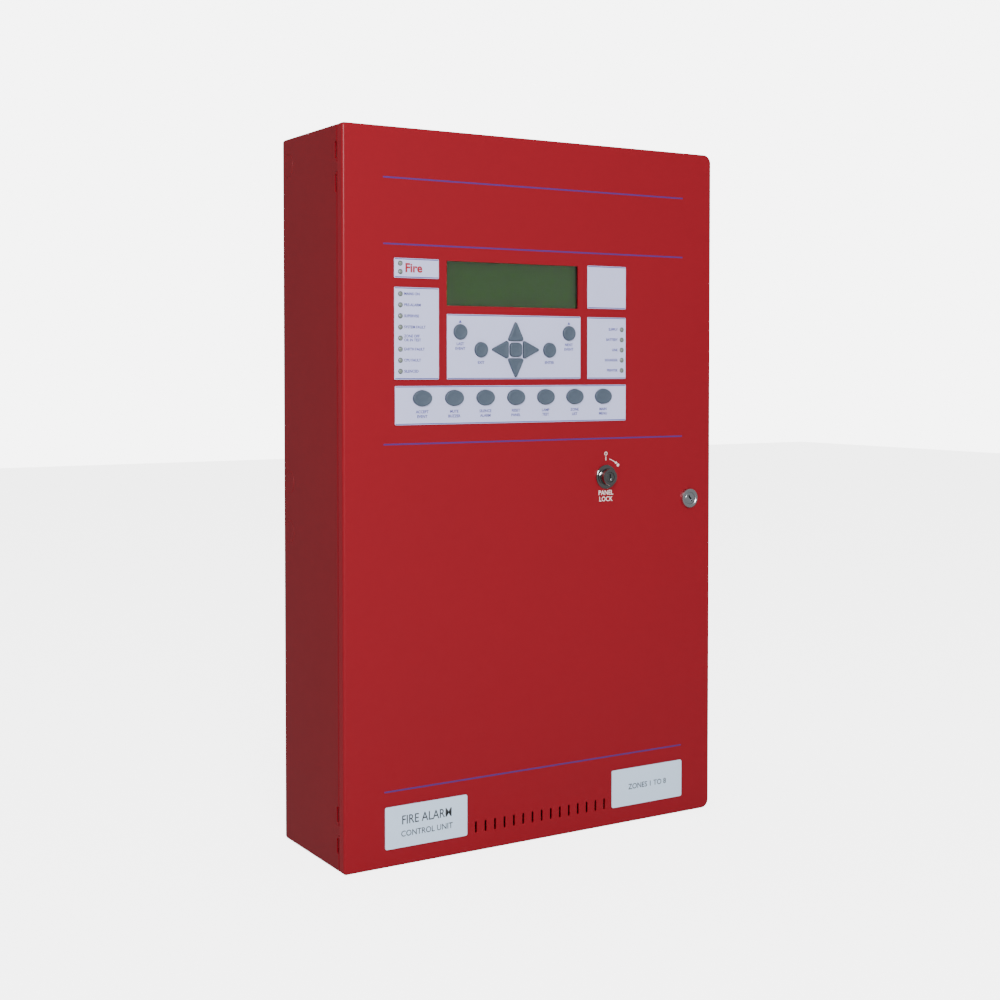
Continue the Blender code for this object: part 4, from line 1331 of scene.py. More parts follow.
@dataclass
class Labels:
    """The printed films on the door, with their edge lines, legends and holes."""

    keypad: Keypad
    lamps: Lamps
    face: float = -0.1459
    back: float = -0.1453
    corner: float = 0.0008
    line: float = 0.0008
    row_type: Lettering = Lettering(0.0026, bold=0.028, wide=0.94)
    small_type: Lettering = Lettering(0.0027, bold=0.028, wide=0.96)
    fire_type: Lettering = Lettering(0.0082, bold=0.042, wide=1.02)
    status_words: tuple[str, ...] = (
        "MAINS ON", "PRE-ALARM", "SUPERVISE", "SYSTEM FAULT", "ZONE OFF\nOR IN TEST", "EARTH FAULT",
        "CPU FAULT", "SILENCED",
    )
    trouble_words: tuple[str, ...] = ("SUPPLY", "BATTERY", "LINE", "SOUNDER", "PRINTER")
    function_words: tuple[str, ...] = (
        "ACCEPT\nEVENT", "MUTE\nBUZZER", "SILENCE\nALARM", "RESET\nPANEL", "LAMP\nTEST", "ZONE\nLIST",
        "MAIN\nMENU",
    )

    def build(self) -> None:
        """Builds the six films and prints on them."""
        keys, lamps = self.keypad, self.lamps
        cut = (self.face - 0.004, self.back + 0.004)
        inside = {
            "fire_label": lamps.tools(*cut, ["fire_lamps"]),
            "status_label": lamps.tools(*cut, ["status_lamps"]),
            "trouble_label": lamps.tools(*cut, ["trouble_lamps"]),
            "message_label": [],
            "navigation_label": [],
            "function_label": [],
        }
        for tool in keys.tools(*cut):
            inside["function_label" if tool.name.startswith("function") else "navigation_label"].append(tool)
        for node, tools in inside.items():
            film = self._film(node)
            if tools:
                Bench.combine(film, tools)
            Bench.hand_over(film, "door", LABEL_FILM, "label_white", [node], 30)
        self._print_edges(list(inside))
        self._print_fire()
        self._print_rows()
        self._print_keys()

    def _film(self, node: str) -> Piece:
        """One film's sheet, with rounded corners."""
        shape = Shape(Outline.ROUNDED, middle_of(node), half_of(node), self.corner)
        return Bench.stepped(
            f"{node}_film", shape, [(0, self.back), (0, self.face + 0.0001), (-0.0001, self.face)]
        )

    def _print_edges(self, nodes: Sequence[str]) -> None:
        """Prints the thin lines along the top and foot of each film."""
        lines = []
        for node in nodes:
            low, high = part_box(node)
            for height in (low.z + 0.0009, high.z - 0.0009):
                lines.append(
                    Bench.block(
                        "line",
                        (low.x + 0.0006, self.face - 0.00006, height - self.line / 2),
                        (high.x - 0.0006, self.face + 0.0001, height + self.line / 2),
                    )
                )
        Bench.hand_over(Bench.join("film_edge_lines", lines), "door", EDGE_INK, "label_white")

    def _print_fire(self) -> None:
        """Prints the red word beside the fire lamps."""
        low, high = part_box("fire_label")
        word = self.fire_type.words(
            "fire_word", "Fire", (low.x + 0.0112, (low.z + high.z) / 2 - 0.0036), self.face
        )
        Bench.hand_over(word, "door", FIRE_INK, "label_white", smooth=20)

    def _print_rows(self) -> None:
        """Prints the legends beside the status and trouble lamps."""
        words = []
        for node, rows, align, step in (
            ("status_lamps", self.status_words, "LEFT", 0.0039), (
                "trouble_lamps", self.trouble_words, "RIGHT", -0.0052
            )
        ):
            for (x, z), text in zip(self.lamps.places()[node], rows):
                lines = text.split("\n")
                for index, line in enumerate(lines):
                    base = z - 0.0011 + (len(lines) - 1) * 0.0019 - index * 0.0037
                    words.append(self.row_type.words("row", line, (x + step, base), self.face, align))
        Bench.hand_over(Bench.join("lamp_legends", words), "door", LEGEND_INK, "label_white", smooth=20)

    def _print_keys(self) -> None:
        """Prints the legends under the keys, and the small marks over the upper two."""
        words = []
        shapes = self.keypad.shapes()
        legends = {f"function_button_{i + 1}": (text, 0.0142) for i, text in enumerate(self.function_words)}
        legends["upper_left_button"] = ("LAST\nEVENT", 0.0128)
        legends["upper_right_button"] = ("NEXT\nEVENT", 0.0128)
        legends["exit_button"] = ("EXIT", 0.0137)
        legends["enter_button"] = ("ENTER", 0.0137)
        for name, (text, drop) in legends.items():
            x, z = shapes[name].centre
            for index, line in enumerate(text.split("\n")):
                base = z - drop - index * 0.0045
                words.append(self.small_type.words("key_word", line, (x, base), self.face, "CENTER"))
        for name in ("upper_left_button", "upper_right_button"):
            x, z = shapes[name].centre
            mark = Shape(Outline.ARROW, (x, z + 0.0102), (0.0016, 0.0014), 0.0001)
            words.append(Bench.stepped("mark", mark, [(0, self.face + 0.0001), (0, self.face - 0.00012)]))
        Bench.hand_over(Bench.join("key_legends", words), "door", LEGEND_INK, "label_white", smooth=20)


@dataclass
class Plates:
    """The two plates at the door's foot, with plain generic words."""

    back: float = -0.1453
    face: float = -0.1463
    corner: float = 0.002

    def build(self) -> None:
        """Builds both plates and prints on them."""
        for node in ("name_plate", "info_plate"):
            shape = Shape(Outline.ROUNDED, middle_of(node), half_of(node), self.corner)
            sections = [
                (0, self.back), (0, self.face + 0.0004), (-0.00012, self.face + 0.00012), (-0.0004, self.face)
            ]
            plate = Bench.stepped(f"{node}_blank", shape, sections)
            Bench.hand_over(plate, "door", PLATE, "plate_grey", [node], 30)
        left, right = middle_of("name_plate"), middle_of("info_plate")
        large, small = Lettering(0.0085, bold=0.010, wide=0.86), Lettering(0.0056, bold=0.010, wide=0.95)
        words = [
            large.words("plate_word", "FIRE ALARM", (left[0], left[1] + 0.0020), self.face, "CENTER"),
            small.words("plate_word", "CONTROL UNIT", (left[0], left[1] - 0.0098), self.face, "CENTER"),
            small.words("plate_word", "ZONES 1 TO 8", (right[0], right[1] - 0.0026), self.face, "CENTER"),
        ]
        Bench.hand_over(Bench.join("plate_words", words), "door", GREY_INK, "plate_grey", smooth=20)


@dataclass
class CamLock:
    """The cam lock at the door's free edge: a flanged barrel, a plug with its keyway, and the cam."""

    face: float = -0.148
    flange: float = 0.01025
    barrel: float = 0.0095
    plug: float = 0.006
    rear: float = -0.126
    keyway: Place = (0.0008, 0.0036)
    lean: float = 20.0
    hole: float = 0.0098

    def build(self) -> None:
        """Builds the barrel, the nut, the plug and the cam."""
        centre = middle_of("lock_body")
        profile = [
            (self.barrel, self.rear), (self.barrel, -0.1453), (self.flange, -0.1453), (self.flange, -0.147)
        ]
        profile += [(self.flange - 0.0004, -0.1477), (self.flange - 0.0013, self.face), (0.0079, self.face)]
        profile += [(0.0072, self.face + 0.0005), (self.plug + 0.0002, self.face + 0.0005)]
        profile += [(self.plug + 0.0002, self.rear + 0.0004)]
        body = Bench.turned("lock_barrel", centre, profile, 64)
        Bench.hand_over(body, "door", BRIGHT_NICKEL, "chrome", ["lock_body"], 35)
        nut = Bench.turned("lock_nut", centre, ((0.0136, -0.14), (0.0136, -0.1432)), 6)
        Bench.combine(nut, [Bench.turned("nut_bore", centre, ((0.0096, -0.135), (0.0096, -0.15)), 48)])
        Bench.hand_over(Bench.soften(nut, 0.0004), "door", ZINC, "zinc_steel")
        self._build_plug(centre)
        self._build_cam(centre)

    def _build_plug(self, centre: Place) -> None:
        """Builds the turning plug with its zigzag keyway."""
        front = self.face + 0.0003
        profile = ((self.plug, self.rear + 0.0002), (self.plug, front + 0.0003), (self.plug - 0.0003, front))
        plug = Bench.turned("lock_core", centre, profile)
        ways = [
            Bench.block(
                "way",
                (centre[0] + shift - self.keyway[0], front - 0.002, centre[1] + low),
                (centre[0] + shift + self.keyway[0], front + 0.008, centre[1] + high),
            )
            for shift, low, high in ((-0.0005, 0.0002, self.keyway[1]), (0.0005, -self.keyway[1], 0.0009))
        ]
        way = Bench.combine(ways[0], ways[1:], "UNION")
        Bench.turn(way, math.radians(self.lean), (centre[0], front, centre[1]))
        Bench.combine(plug, [way])
        Bench.hand_over(Bench.soften(plug, 0.00012, 1), "lock", BRIGHT_NICKEL, "chrome", ["lock_plug"], 35)

    def _build_cam(self, centre: Place) -> None:
        """Builds the cam and the screw that holds it."""
        low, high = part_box("lock_cam")
        cam = Bench.block("lock_tongue", low, high)
        Bench.pick_edges(cam, 1, lambda middle: middle.z > centre[1])
        Bench.bevel(0.0045, 6)
        Bench.pick_edges(cam, 1, lambda middle: middle.z < centre[1] - 0.015)
        Bench.bevel(0.002, 4)
        Bench.put_down()
        Bench.hand_over(Bench.soften(cam, 0.0003), "lock", ZINC, "zinc_steel", ["lock_cam"])
        screw = Fastener(0.0042, 0.0022).head("cam_screw", centre, high.y, 1.0)
        Bench.hand_over(screw, "lock", ZINC, "zinc_steel", smooth=35)


@dataclass
class KeySwitch:
    """The key switch: a stepped chrome bezel, a plug with an upright keyway, and its marks."""

    nose: float = 0.00875
    base: float = 0.01225
    tip: float = -0.1535
    seat: float = -0.1453
    barrel: float = 0.008
    plug: float = 0.005
    rear: float = -0.122
    mark_radius: float = 0.0186
    hole: float = 0.0083

    def build(self) -> None:
        """Builds the bezel, nut, plug and the printed marks round them."""
        centre = middle_of("key_switch_plug")
        profile = [
            (self.barrel, -0.118), (self.barrel, self.seat), (self.base, self.seat), (self.base, -0.1462)
        ]
        profile += [
            (self.base - 0.0003, -0.1466), (self.base - 0.0009, -0.1468), (self.nose + 0.0006, -0.1469)
        ]
        profile += [
            (self.nose + 0.0001, -0.1473), (self.nose, -0.148), (self.nose - 0.0002, self.tip + 0.0008)
        ]
        profile += [
            (self.nose - 0.0005, self.tip + 0.0002), (self.nose - 0.0011, self.tip), (0.0064, self.tip)
        ]
        profile += [(self.plug + 0.0003, self.tip + 0.0005), (self.plug + 0.0003, -0.1221)]
        body = Bench.turned("switch_bezel", centre, profile, 64)
        Bench.hand_over(body, "door", DARK_CHROME, "chrome", ["key_switch_body"], 35)
        nut = Bench.turned("switch_nut", centre, ((0.0118, -0.14), (0.0118, -0.1432)), 6)
        Bench.combine(nut, [Bench.turned("nut_bore", centre, ((0.0081, -0.135), (0.0081, -0.15)), 48)])
        Bench.hand_over(Bench.soften(nut, 0.0004), "door", ZINC, "zinc_steel")
        front = self.tip + 0.0006
        profile = ((self.plug, self.rear), (self.plug, front + 0.0003), (self.plug - 0.0003, front))
        plug = Bench.turned("switch_core", centre, profile)
        way = Bench.block(
            "way", (
                centre[0] - 0.0007, front - 0.002, centre[1] - 0.0034
            ), (centre[0] + 0.0007, front + 0.008, centre[1] + 0.0034)
        )
        Bench.combine(plug, [way])
        Bench.hand_over(
            Bench.soften(plug, 0.00012, 1), "key_switch", DARK_CHROME, "chrome", ["key_switch_plug"], 35
        )
        self._build_contacts(centre)
        self._print_marks(centre)

    def _build_contacts(self, centre: Place) -> None:
        """Builds the contact block behind the switch, with its two blade terminals."""
        body = Bench.turned(
            "switch_contacts", centre, ((0.0078, -0.1178), (0.0078, -0.1135), (0.0070, -0.1128)), 40
        )
        Bench.hand_over(body, "door", BLACK_PLASTIC, "black_plastic")
        blades = [
            Bench.block(
                "blade", (centre[0] + x - 0.0024, -0.1129, centre[1] - 0.0004),
                (centre[0] + x + 0.0024, -0.1075, centre[1] + 0.0004),
            )
            for x in (-0.0036, 0.0036)
        ]
        Bench.hand_over(Bench.join("switch_blades", blades), "door", ZINC, "zinc_steel")

    def _print_marks(self, centre: Place) -> None:
        """Prints the rest mark, the arc with its arrowhead, the dot and the two words."""
        face = DoorSkin.front
        front, rear = face - 0.00008, face + 0.0002
        pieces = [self._ring((centre[0], centre[1] + 0.0238), 0.0019, 0.0013, front, rear)]
        pieces.append(
            Bench.block(
                "tick", (centre[0] - 0.0004, front, centre[1] + 0.0170),
                (centre[0] + 0.0004, rear, centre[1] + 0.0208),
            )
        )
        pieces.append(self._arc(centre, math.radians(14), math.radians(40), front, rear))
        dot = (centre[0] + 0.0152, centre[1] + 0.0116)
        pieces.append(Bench.turned("dot", dot, ((0.0015, rear), (0.0015, front)), 24))
        bold = Lettering(0.0048, bold=0.008, wide=0.92)
        pieces.append(bold.words("switch_word", "PANEL", (centre[0], centre[1] - 0.0185), face, "CENTER"))
        pieces.append(bold.words("switch_word", "LOCK", (centre[0], centre[1] - 0.0250), face, "CENTER"))
        Bench.hand_over(Bench.join("switch_marks", pieces), "door", WHITE_INK, "red_enamel", smooth=20)

    @staticmethod
    def _ring(centre: Place, outer: float, inner: float, front: float, rear: float) -> Piece:
        """A printed ring."""
        ring = Bench.turned("ring", centre, ((outer, rear), (outer, front)), 32)
        return Bench.combine(
            ring, [Bench.turned("ring_hole", centre, ((inner, rear + 0.001), (inner, front - 0.001)), 32)]
        )

    def _arc(self, centre: Place, start: float, end: float, front: float, rear: float) -> Piece:
        """The printed arc, clockwise from the top, with an arrowhead at its end."""
        radius = self.mark_radius
        ring = self._ring(centre, radius + 0.0003, radius - 0.0003, front, rear)
        reach = 0.03
        spots = [(0, 0), (math.sin(start), math.cos(start)), (math.sin(end), math.cos(end))]
        wedge = Shape(Outline.ROUNDED, centre, (reach, reach), 0.0001).laid("wedge", front - 0.001)
        bpy.ops.mesh.delete(type="VERT")
        cage = bmesh.from_edit_mesh(wedge.data)
        corners = [
            cage.verts.new((centre[0] + x * reach, front - 0.001, centre[1] + z * reach))
            for x, z in spots
        ]
        cage.faces.new(corners).select_set(True)
        bmesh.update_edit_mesh(wedge.data)
        Bench.draw_out(centre, rear + 0.001, rear - front + 0.002, (1.0, 1.0))
        Bench.face_out()
        Bench.put_down()
        Bench.combine(ring, [wedge], "INTERSECT")
        tip = end + 0.04
        spot = (centre[0] + radius * math.sin(tip), centre[1] + radius * math.cos(tip))
        head = Bench.stepped(
            "head", Shape(Outline.ARROW, spot, (0.0013, 0.0014), 0.0001), [(0, rear), (0, front)]
        )
        Bench.turn(head, math.pi / 2 + tip, (spot[0], front, spot[1]))
        return Bench.join("arc", [ring, head])


@dataclass
class Display:
    """The display: its glass with a dot grid, a dark frame, a foam gasket and the clear window."""

    opening: tuple[Place, Place] = DoorSkin.window
    module_front: float = -0.1395

    def build(self) -> None:
        """Builds the module, its gasket and the window."""
        low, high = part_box("lcd_module")
        frame_piece = Bench.block(
            "display_frame", (low.x, self.module_front, low.z), (high.x, high.y, high.z)
        )
        Bench.pick_faces(frame_piece, Side.FRONT)
        bpy.ops.mesh.inset(thickness=0.0050, depth=0)
        bpy.ops.mesh.extrude_region_move(TRANSFORM_OT_translate={"value": (0, 0.0012, 0)})
        Bench.put_down()
        Bench.soften(frame_piece, 0.0004)
        Bench.hand_over(frame_piece, "door", FRAME_DARK, "black_plastic", ["lcd_module"])
        glass = Bench.block(
            "display_face",
            (low.x + 0.0052, self.module_front + 0.0004, low.z + 0.0052),
            (high.x - 0.0052, self.module_front + 0.0016, high.z - 0.0052),
        )
        Bench.hand_over(Bench.soften(glass, 0.0002, 1), "door", DISPLAY_GLASS, "lcd_green")
        self._build_gasket()
        low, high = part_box("lcd_window")
        pane = Bench.block("display_window", low, high)
        Bench.hand_over(Bench.soften(pane, 0.0003), "door", WINDOW, "clear_window", ["lcd_window"])

    def _build_gasket(self) -> None:
        """Builds the foam gasket between the window and the module."""
        (left, low), (right, high) = self.opening
        grow = 0.0045
        foam = Bench.block(
            "display_gasket", (left - grow, -0.1416, low - 0.004), (right + grow, -0.1396, high + 0.004)
        )
        hole = Bench.block(
            "gasket_hole", (left - 0.0004, -0.15, low - 0.0004), (right + 0.0004, -0.13, high + 0.0004)
        )
        Bench.combine(foam, [hole])
        Bench.hand_over(Bench.soften(foam, 0.0003), "door", BLACK_PLASTIC, "black_plastic")


@dataclass
class Cable:
    """A round sleeved lead along a smooth route, with a crimped tag at each end."""

    node: str
    route: tuple[tuple[float, float, float], ...]
    radius: float
    finish: Finish
    slot: str

    def build(self, crossing: tuple[Place, Place] | None = None) -> None:
        """Builds the lead and its tags.

        Args:
            crossing: Given for a lead that crosses the hinge; its tags are then joined to it in its own
                finish and it is mounted on no body. The places in it are not used.
        """
        sleeve = self._tube(f"{self.node}_sleeve", self.route, self.radius)
        ends = [self._tag(end) for end in (0, 1)]
        if crossing:
            Bench.join(sleeve.name, [sleeve, *ends])
        Bench.pick_up(sleeve)
        bpy.ops.object.shade_smooth_by_angle(angle=math.radians(40))
        sleeve.data.materials.clear()
        sleeve.data.materials.append(self.finish.material())
        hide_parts(self.node)
        if crossing:
            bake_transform(sleeve)
            return
        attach(sleeve, "cabinet")
        for tag in ends:
            Bench.hand_over(tag, "cabinet", ZINC, "zinc_steel")

    def _tag(self, end: int) -> Piece:
        """The crimped collar over one end of the lead."""
        tip = Vector(self.route[-1 if end else 0])
        towards = Vector(self.route[-2 if end else 1]) - tip
        reach = tip + towards.normalized() * self.radius * 3.2
        return self._tube(
            f"{self.node}_tag_{end}", (tuple(tip), tuple(tip.lerp(reach, 0.5)), tuple(reach)),
            self.radius * 1.22,
        )

    @staticmethod
    def _tube(name: str, route: Sequence[Sequence[float]], radius: float) -> Piece:
        """A round tube along a smooth curve, with closed ends."""
        curve = Cable.path(name, route)
        curve.data.bevel_depth = radius
        curve.data.bevel_resolution = 4
        curve.data.use_fill_caps = True
        bpy.ops.object.convert(target="MESH")
        return Bench.fix_place(name)

    @staticmethod
    def path(name: str, route: Sequence[Sequence[float]]) -> Piece:
        """A smooth curve through points, as the active object.

        Args:
            name: The curve's name.
            route: The points.

        Returns:
            The curve object.
        """
        Bench.put_down()
        bpy.ops.curve.primitive_bezier_curve_add()
        piece = bpy.context.active_object
        piece.name = name
        piece.data.dimensions = "3D"
        piece.data.resolution_u = 8
        spline = piece.data.splines[0]
        spline.bezier_points.add(len(route) - 2)
        for knot, place in zip(spline.bezier_points, route):
            knot.co = place
            knot.handle_left_type = "AUTO"
            knot.handle_right_type = "AUTO"
        return piece


@dataclass
class Ribbon:
    """The flat cable between the main board and the display board, ribbed along its conductors."""

    route: tuple[Place, ...]
    low: float = 0.1875
    high: float = 0.2125
    thickness: float = 0.0009
    conductors: int = 20

    def build(self, crossing: tuple[Place, Place]) -> None:
        """Builds the ribbon and its two sockets.

        Args:
            crossing: Not used.
        """
        Cable.path("ribbon_cable", [(x, y, self.low) for x, y in self.route])
        bpy.ops.object.convert(target="MESH")
        ribbon = Bench.fix_place("ribbon_cable")
        Bench.pick_points(ribbon, lambda spot: True)
        step = (self.high - self.low) / (self.conductors * 2)
        for _ in range(self.conductors * 2):
            bpy.ops.mesh.extrude_region_move(TRANSFORM_OT_translate={"value": (0, 0, step)})
        bpy.ops.object.mode_set(mode="OBJECT")
        Bench.apply(ribbon, "SOLIDIFY", thickness=self.thickness * 0.7, offset=0.0)
        Bench.pick_points(ribbon, lambda spot: round((spot.z - self.low) / step) % 2 == 1)
        bpy.ops.transform.shrink_fatten(value=self.thickness * 0.15)
        Bench.pick_up(ribbon)
        bpy.ops.object.shade_smooth_by_angle(angle=math.radians(60))
        ribbon.data.materials.append(RIBBON_GREY.material())
        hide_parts("display_ribbon")
        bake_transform(ribbon)
        for name, body, (x, y), away in (
            (
                "ribbon_socket_main", "cabinet", self.route[0], -0.0058
            ), ("ribbon_socket_door", "door", self.route[-1], 0.0058)
        ):
            low = (x - 0.0032, min(y, y + away), self.low - 0.004)
            high = (x + 0.0032, max(y, y + away), self.high + 0.004)
            socket = Bench.soften(Bench.block(name, low, high), 0.0006)
            Bench.hand_over(socket, body, BLACK_PLASTIC, "black_plastic")


@dataclass
class Board:
    """A printed board with its parts: chips, cans, relays, headers and fixing screws.

    Each part is its kind's letter, its place across and up, and its half width and half height.
    """

    node: str
    body: str
    front: float
    parts: tuple[tuple[str, float, float, float, float], ...]
    screws: tuple[Place, ...]
    towards: float = -1.0
    heights: tuple[tuple[str, float], ...] = (
        ("c", 0.0022), ("r", 0.0130), ("h", 0.0085), ("s", 0.0045), ("t", 0.0110)
    )

    def build(self) -> None:
        """Builds the board, then its parts by kind."""
        low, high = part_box(self.node)
        sheet = Bench.soften(Bench.block(f"{self.node}_sheet", low, high), 0.0003, 1)
        Bench.hand_over(sheet, self.body, BOARD_GREEN, "board_green", [self.node])
        looks = {
            "c": BLACK_PLASTIC, "r": CREAM_PLASTIC, "h": CREAM_PLASTIC, "s": FRAME_DARK, "t": BLOCK_GREEN
        }
        for kind, height in self.heights:
            made = [self._part(kind, height, *part[1:]) for part in self.parts if part[0] == kind]
            if made:
                Bench.hand_over(
                    Bench.soften(Bench.join(f"{self.node}_{kind}_parts", made), 0.0004, 2),
                    self.body, looks[kind], "terminal_green" if kind == "t" else "black_plastic",
                )
        cans = [self._can(*part[1:4]) for part in self.parts if part[0] == "o"]
        if cans:
            Bench.hand_over(
                Bench.join(f"{self.node}_cans", cans), self.body, BATTERY_CASE, "black_plastic", smooth=35
            )
        legs = [leg for part in self.parts if part[0] == "c" for leg in self._legs(*part[1:])]
        if legs:
            Bench.hand_over(Bench.join(f"{self.node}_legs", legs), self.body, ZINC, "zinc_steel")
        Fastener().fit(f"{self.node}_screws", self.body, self.screws, self.front, self.towards)

    def _part(self, kind: str, height: float, x: float, z: float, wide: float, tall: float) -> Piece:
        """One squared part that stands on the board."""
        top = self.front + height * self.towards
        foot = self.front - 0.0001 * self.towards
        block = Bench.block(
            "part", (x - wide, min(top, foot), z - tall), (x + wide, max(top, foot), z + tall)
        )
        if kind in "ht":
            face = Side.FRONT if self.towards < 0 else Side.BACK
            Bench.pick_faces(block, face)
            bpy.ops.mesh.inset(thickness=min(wide, tall) * 0.28, depth=0)
            bpy.ops.mesh.extrude_region_move(
                TRANSFORM_OT_translate={"value": (0, -self.towards * height * 0.4, 0)}
            )
            Bench.put_down()
        return block

    def _can(self, x: float, z: float, radius: float) -> Piece:
        """One round capacitor with a rolled rim."""
        profile = [(radius, self.front), (radius, self.front + 0.0008 * self.towards)]
        tip = self.front + radius * 2.6 * self.towards
        profile += [
            (radius * 0.94, self.front + 0.0016 * self.towards), (radius, self.front + 0.0024 * self.towards)
        ]
        profile += [
            (radius, tip - 0.0006 * self.towards), (radius * 0.9, tip),
            (radius * 0.75, tip - 0.0002 * self.towards),
        ]
        return Bench.turned("can", (x, z), profile, 28)

    def _legs(self, x: float, z: float, wide: float, tall: float) -> list[Piece]:
        """The two rows of legs of one chip."""
        pitch = 0.00254
        count = max(int(2 * wide / pitch), 2)
        top = self.front + 0.0009 * self.towards
        made = []
        for index in range(count):
            spot = x + (index - (count - 1) / 2) * pitch
            low = (spot - 0.0004, min(top, self.front), z - tall - 0.0014)
            high = (spot + 0.0004, max(top, self.front), z + tall + 0.0014)
            made.append(Bench.block("leg", low, high))
        return made


@dataclass
class Interior:
    """What is fixed inside the cabinet and behind the door, beside the boards."""

    chassis_front: float = -0.020
    battery_seam: float = 0.020

    def build(self) -> None:
        """Builds the boards, terminals, supply, batteries, leads and fixings."""
        self._build_boards()
        self._build_terminals()
        self._build_supply()
        for node in ("battery_left", "battery_right"):
            self._build_battery(node)
        self._build_leads()
        self._build_sounder()
        self._build_fixings()
        hinges = [
            f"{place}_hinge_{part}"
            for part in ("bracket", "pin", "arm") for place in ("upper", "lower")
        ]
        for node in (*hinges, "lock_strike", "earth_stud", "chassis_plate"):
            Bench.repaint(node, ZINC, "zinc_steel")

    def _build_boards(self) -> None:
        """Builds the three boards with their parts."""
        main_low, main_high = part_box("main_board")
        chips = [
            ("c", -0.005, 0.200, 0.012, 0.0045), ("c", -0.072, 0.220, 0.018, 0.006),
            ("c", 0.018, 0.150, 0.010, 0.0035),
        ]
        chips += [
            ("c", -0.160, 0.130, 0.009, 0.0035), ("c", 0.020, 0.100, 0.010, 0.0035),
            ("c", -0.155, 0.090, 0.008, 0.0035),
        ]
        relays = [("r", -0.165 + 0.021 * i, 0.020, 0.0085, 0.0070) for i in range(5)]
        relays += [("t", -0.020 + 0.024 * i, 0.014, 0.0105, 0.0065) for i in range(3)]
        cans = [
            ("o", x, z, 0.0055, 0.0)
            for x, z in ((0.040, 0.215), (0.040, 0.232), (-0.112, 0.205), (0.030, 0.060))
        ]
        cans += [
            ("o", x, z, 0.0032, 0.0)
            for x, z in ((-0.020, 0.060), (-0.012, 0.070), (-0.165, 0.060), (0.005, 0.235))
        ]
        small = [
            ("s", -0.030 + 0.009 * i, 0.175 - 0.012 * j, 0.0028, 0.0013)
            for i in range(3) for j in range(4)
        ]
        corners = [(x, z) for x in (main_low.x + 0.006, main_high.x - 0.006) for z in (0.006, 0.1425, 0.252)]
        Board(
            "main_board", "cabinet", main_low.y, tuple(chips + relays + cans + small), tuple(corners)
        ).build()
        low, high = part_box("loop_card")
        parts = (
            ("c", -0.090, 0.120, 0.014, 0.0045), ("c", -0.100, 0.095, 0.009, 0.0035),
            ("c", -0.072, 0.095, 0.007, 0.0035),
            ("t", -0.088, 0.056, 0.030, 0.0065), ("o", -0.060, 0.145, 0.0045, 0.0),
            ("o", -0.074, 0.145, 0.0045, 0.0),
            ("s", -0.112, 0.145, 0.0028, 0.0013), ("s", -0.112, 0.137, 0.0028, 0.0013),
            ("s", -0.100, 0.075, 0.0028, 0.0013),
        )
        corners = tuple(
            (x, z)
            for x in (low.x + 0.005, high.x - 0.005) for z in (low.z + 0.005, high.z - 0.005)
        )
        Board("loop_card", "cabinet", low.y, parts, corners).build()
        spacers = Bench.turned("card_spacers_model", (0, 0), ((0.003, main_low.y), (0.003, high.y)), 6)
        spacers = Bench.copies("card_spacers", spacers, [(x, 0, z) for x, z in corners])
        Bench.hand_over(spacers, "cabinet", ZINC, "zinc_steel")
        low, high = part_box("display_board")
        parts = (
            ("c", -0.060, 0.205, 0.016, 0.006), ("c", 0.000, 0.205, 0.012, 0.0045),
            ("c", -0.060, 0.170, 0.010, 0.0035),
            ("c", -0.020, 0.170, 0.010, 0.0035), ("c", 0.040, 0.110, 0.010, 0.0035),
            ("h", 0.075, 0.205, 0.012, 0.0032),
            ("s", 0.020, 0.170, 0.0028, 0.0013), ("s", 0.030, 0.170, 0.0028, 0.0013),
            ("s", 0.040, 0.170, 0.0028, 0.0013),
            ("s", -0.090, 0.140, 0.0028, 0.0013), ("s", -0.080, 0.140, 0.0028, 0.0013),
            ("s", -0.070, 0.140, 0.0028, 0.0013),
        )
        corners = tuple(
            (x, z)
            for x in (low.x + 0.005, high.x - 0.005) for z in (low.z + 0.005, high.z - 0.005)
        )
        Board("display_board", "door", high.y, parts, corners, 1.0).build()
        studs = Bench.turned(
            "door_studs_model", (0, 0), ((0.003, DoorSkin.front + DoorSkin.sheet), (0.003, low.y)), 6
        )
        Bench.hand_over(
            Bench.copies("door_studs", studs, [(x, 0, z) for x, z in corners]), "door", ZINC, "zinc_steel"
        )

    def _build_terminals(self) -> None:
        """Builds the field terminals and the mains block, each with its screws."""
        low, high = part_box("field_terminals")
        strip = Bench.block("field_terminal_strip", low, high)
        spots = [-0.170 + i * 0.0191 for i in range(12)]
        entries = Bench.block(
            "entry", (-0.0035, high.y - 0.0115, high.z - 0.004), (0.0035, high.y - 0.0045, high.z + 0.002)
        )
        wells = Bench.turned(
            "well", (0, (low.z + high.z) / 2), ((0.0034, low.y - 0.002), (0.0034, low.y + 0.003)), 24
        )
        tools = [
            Bench.copies("entries", entries, [(x, 0, 0) for x in spots]),
            Bench.copies("wells", wells, [(x, 0, 0) for x in spots]),
        ]
        Bench.combine(strip, tools)
        Bench.hand_over(
            Bench.soften(strip, 0.0003, 1), "cabinet", BLOCK_GREEN, "terminal_green", ["field_terminals"]
        )
        places = [(x, (low.z + high.z) / 2) for x in spots]
        Fastener(0.0030, 0.0016).fit("field_terminal_screws", "cabinet", places, low.y + 0.003)
        low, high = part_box("mains_terminal_block")
        block = Bench.block("mains_block", low, high)
        places = [(x, (low.z + high.z) / 2) for x in (0.107, 0.125, 0.143)]
        wells = [
            Bench.block("well", (x - 0.006, low.y - 0.001, z - 0.008), (x + 0.006, low.y + 0.006, z + 0.008))
            for x, z in places
        ]
        Bench.combine(block, wells)
        Bench.hand_over(
            Bench.soften(block, 0.0005), "cabinet", BLACK_PLASTIC, "black_plastic", ["mains_terminal_block"]
        )
        Fastener(0.0038, 0.0024).fit("mains_screws", "cabinet", places, low.y + 0.006)

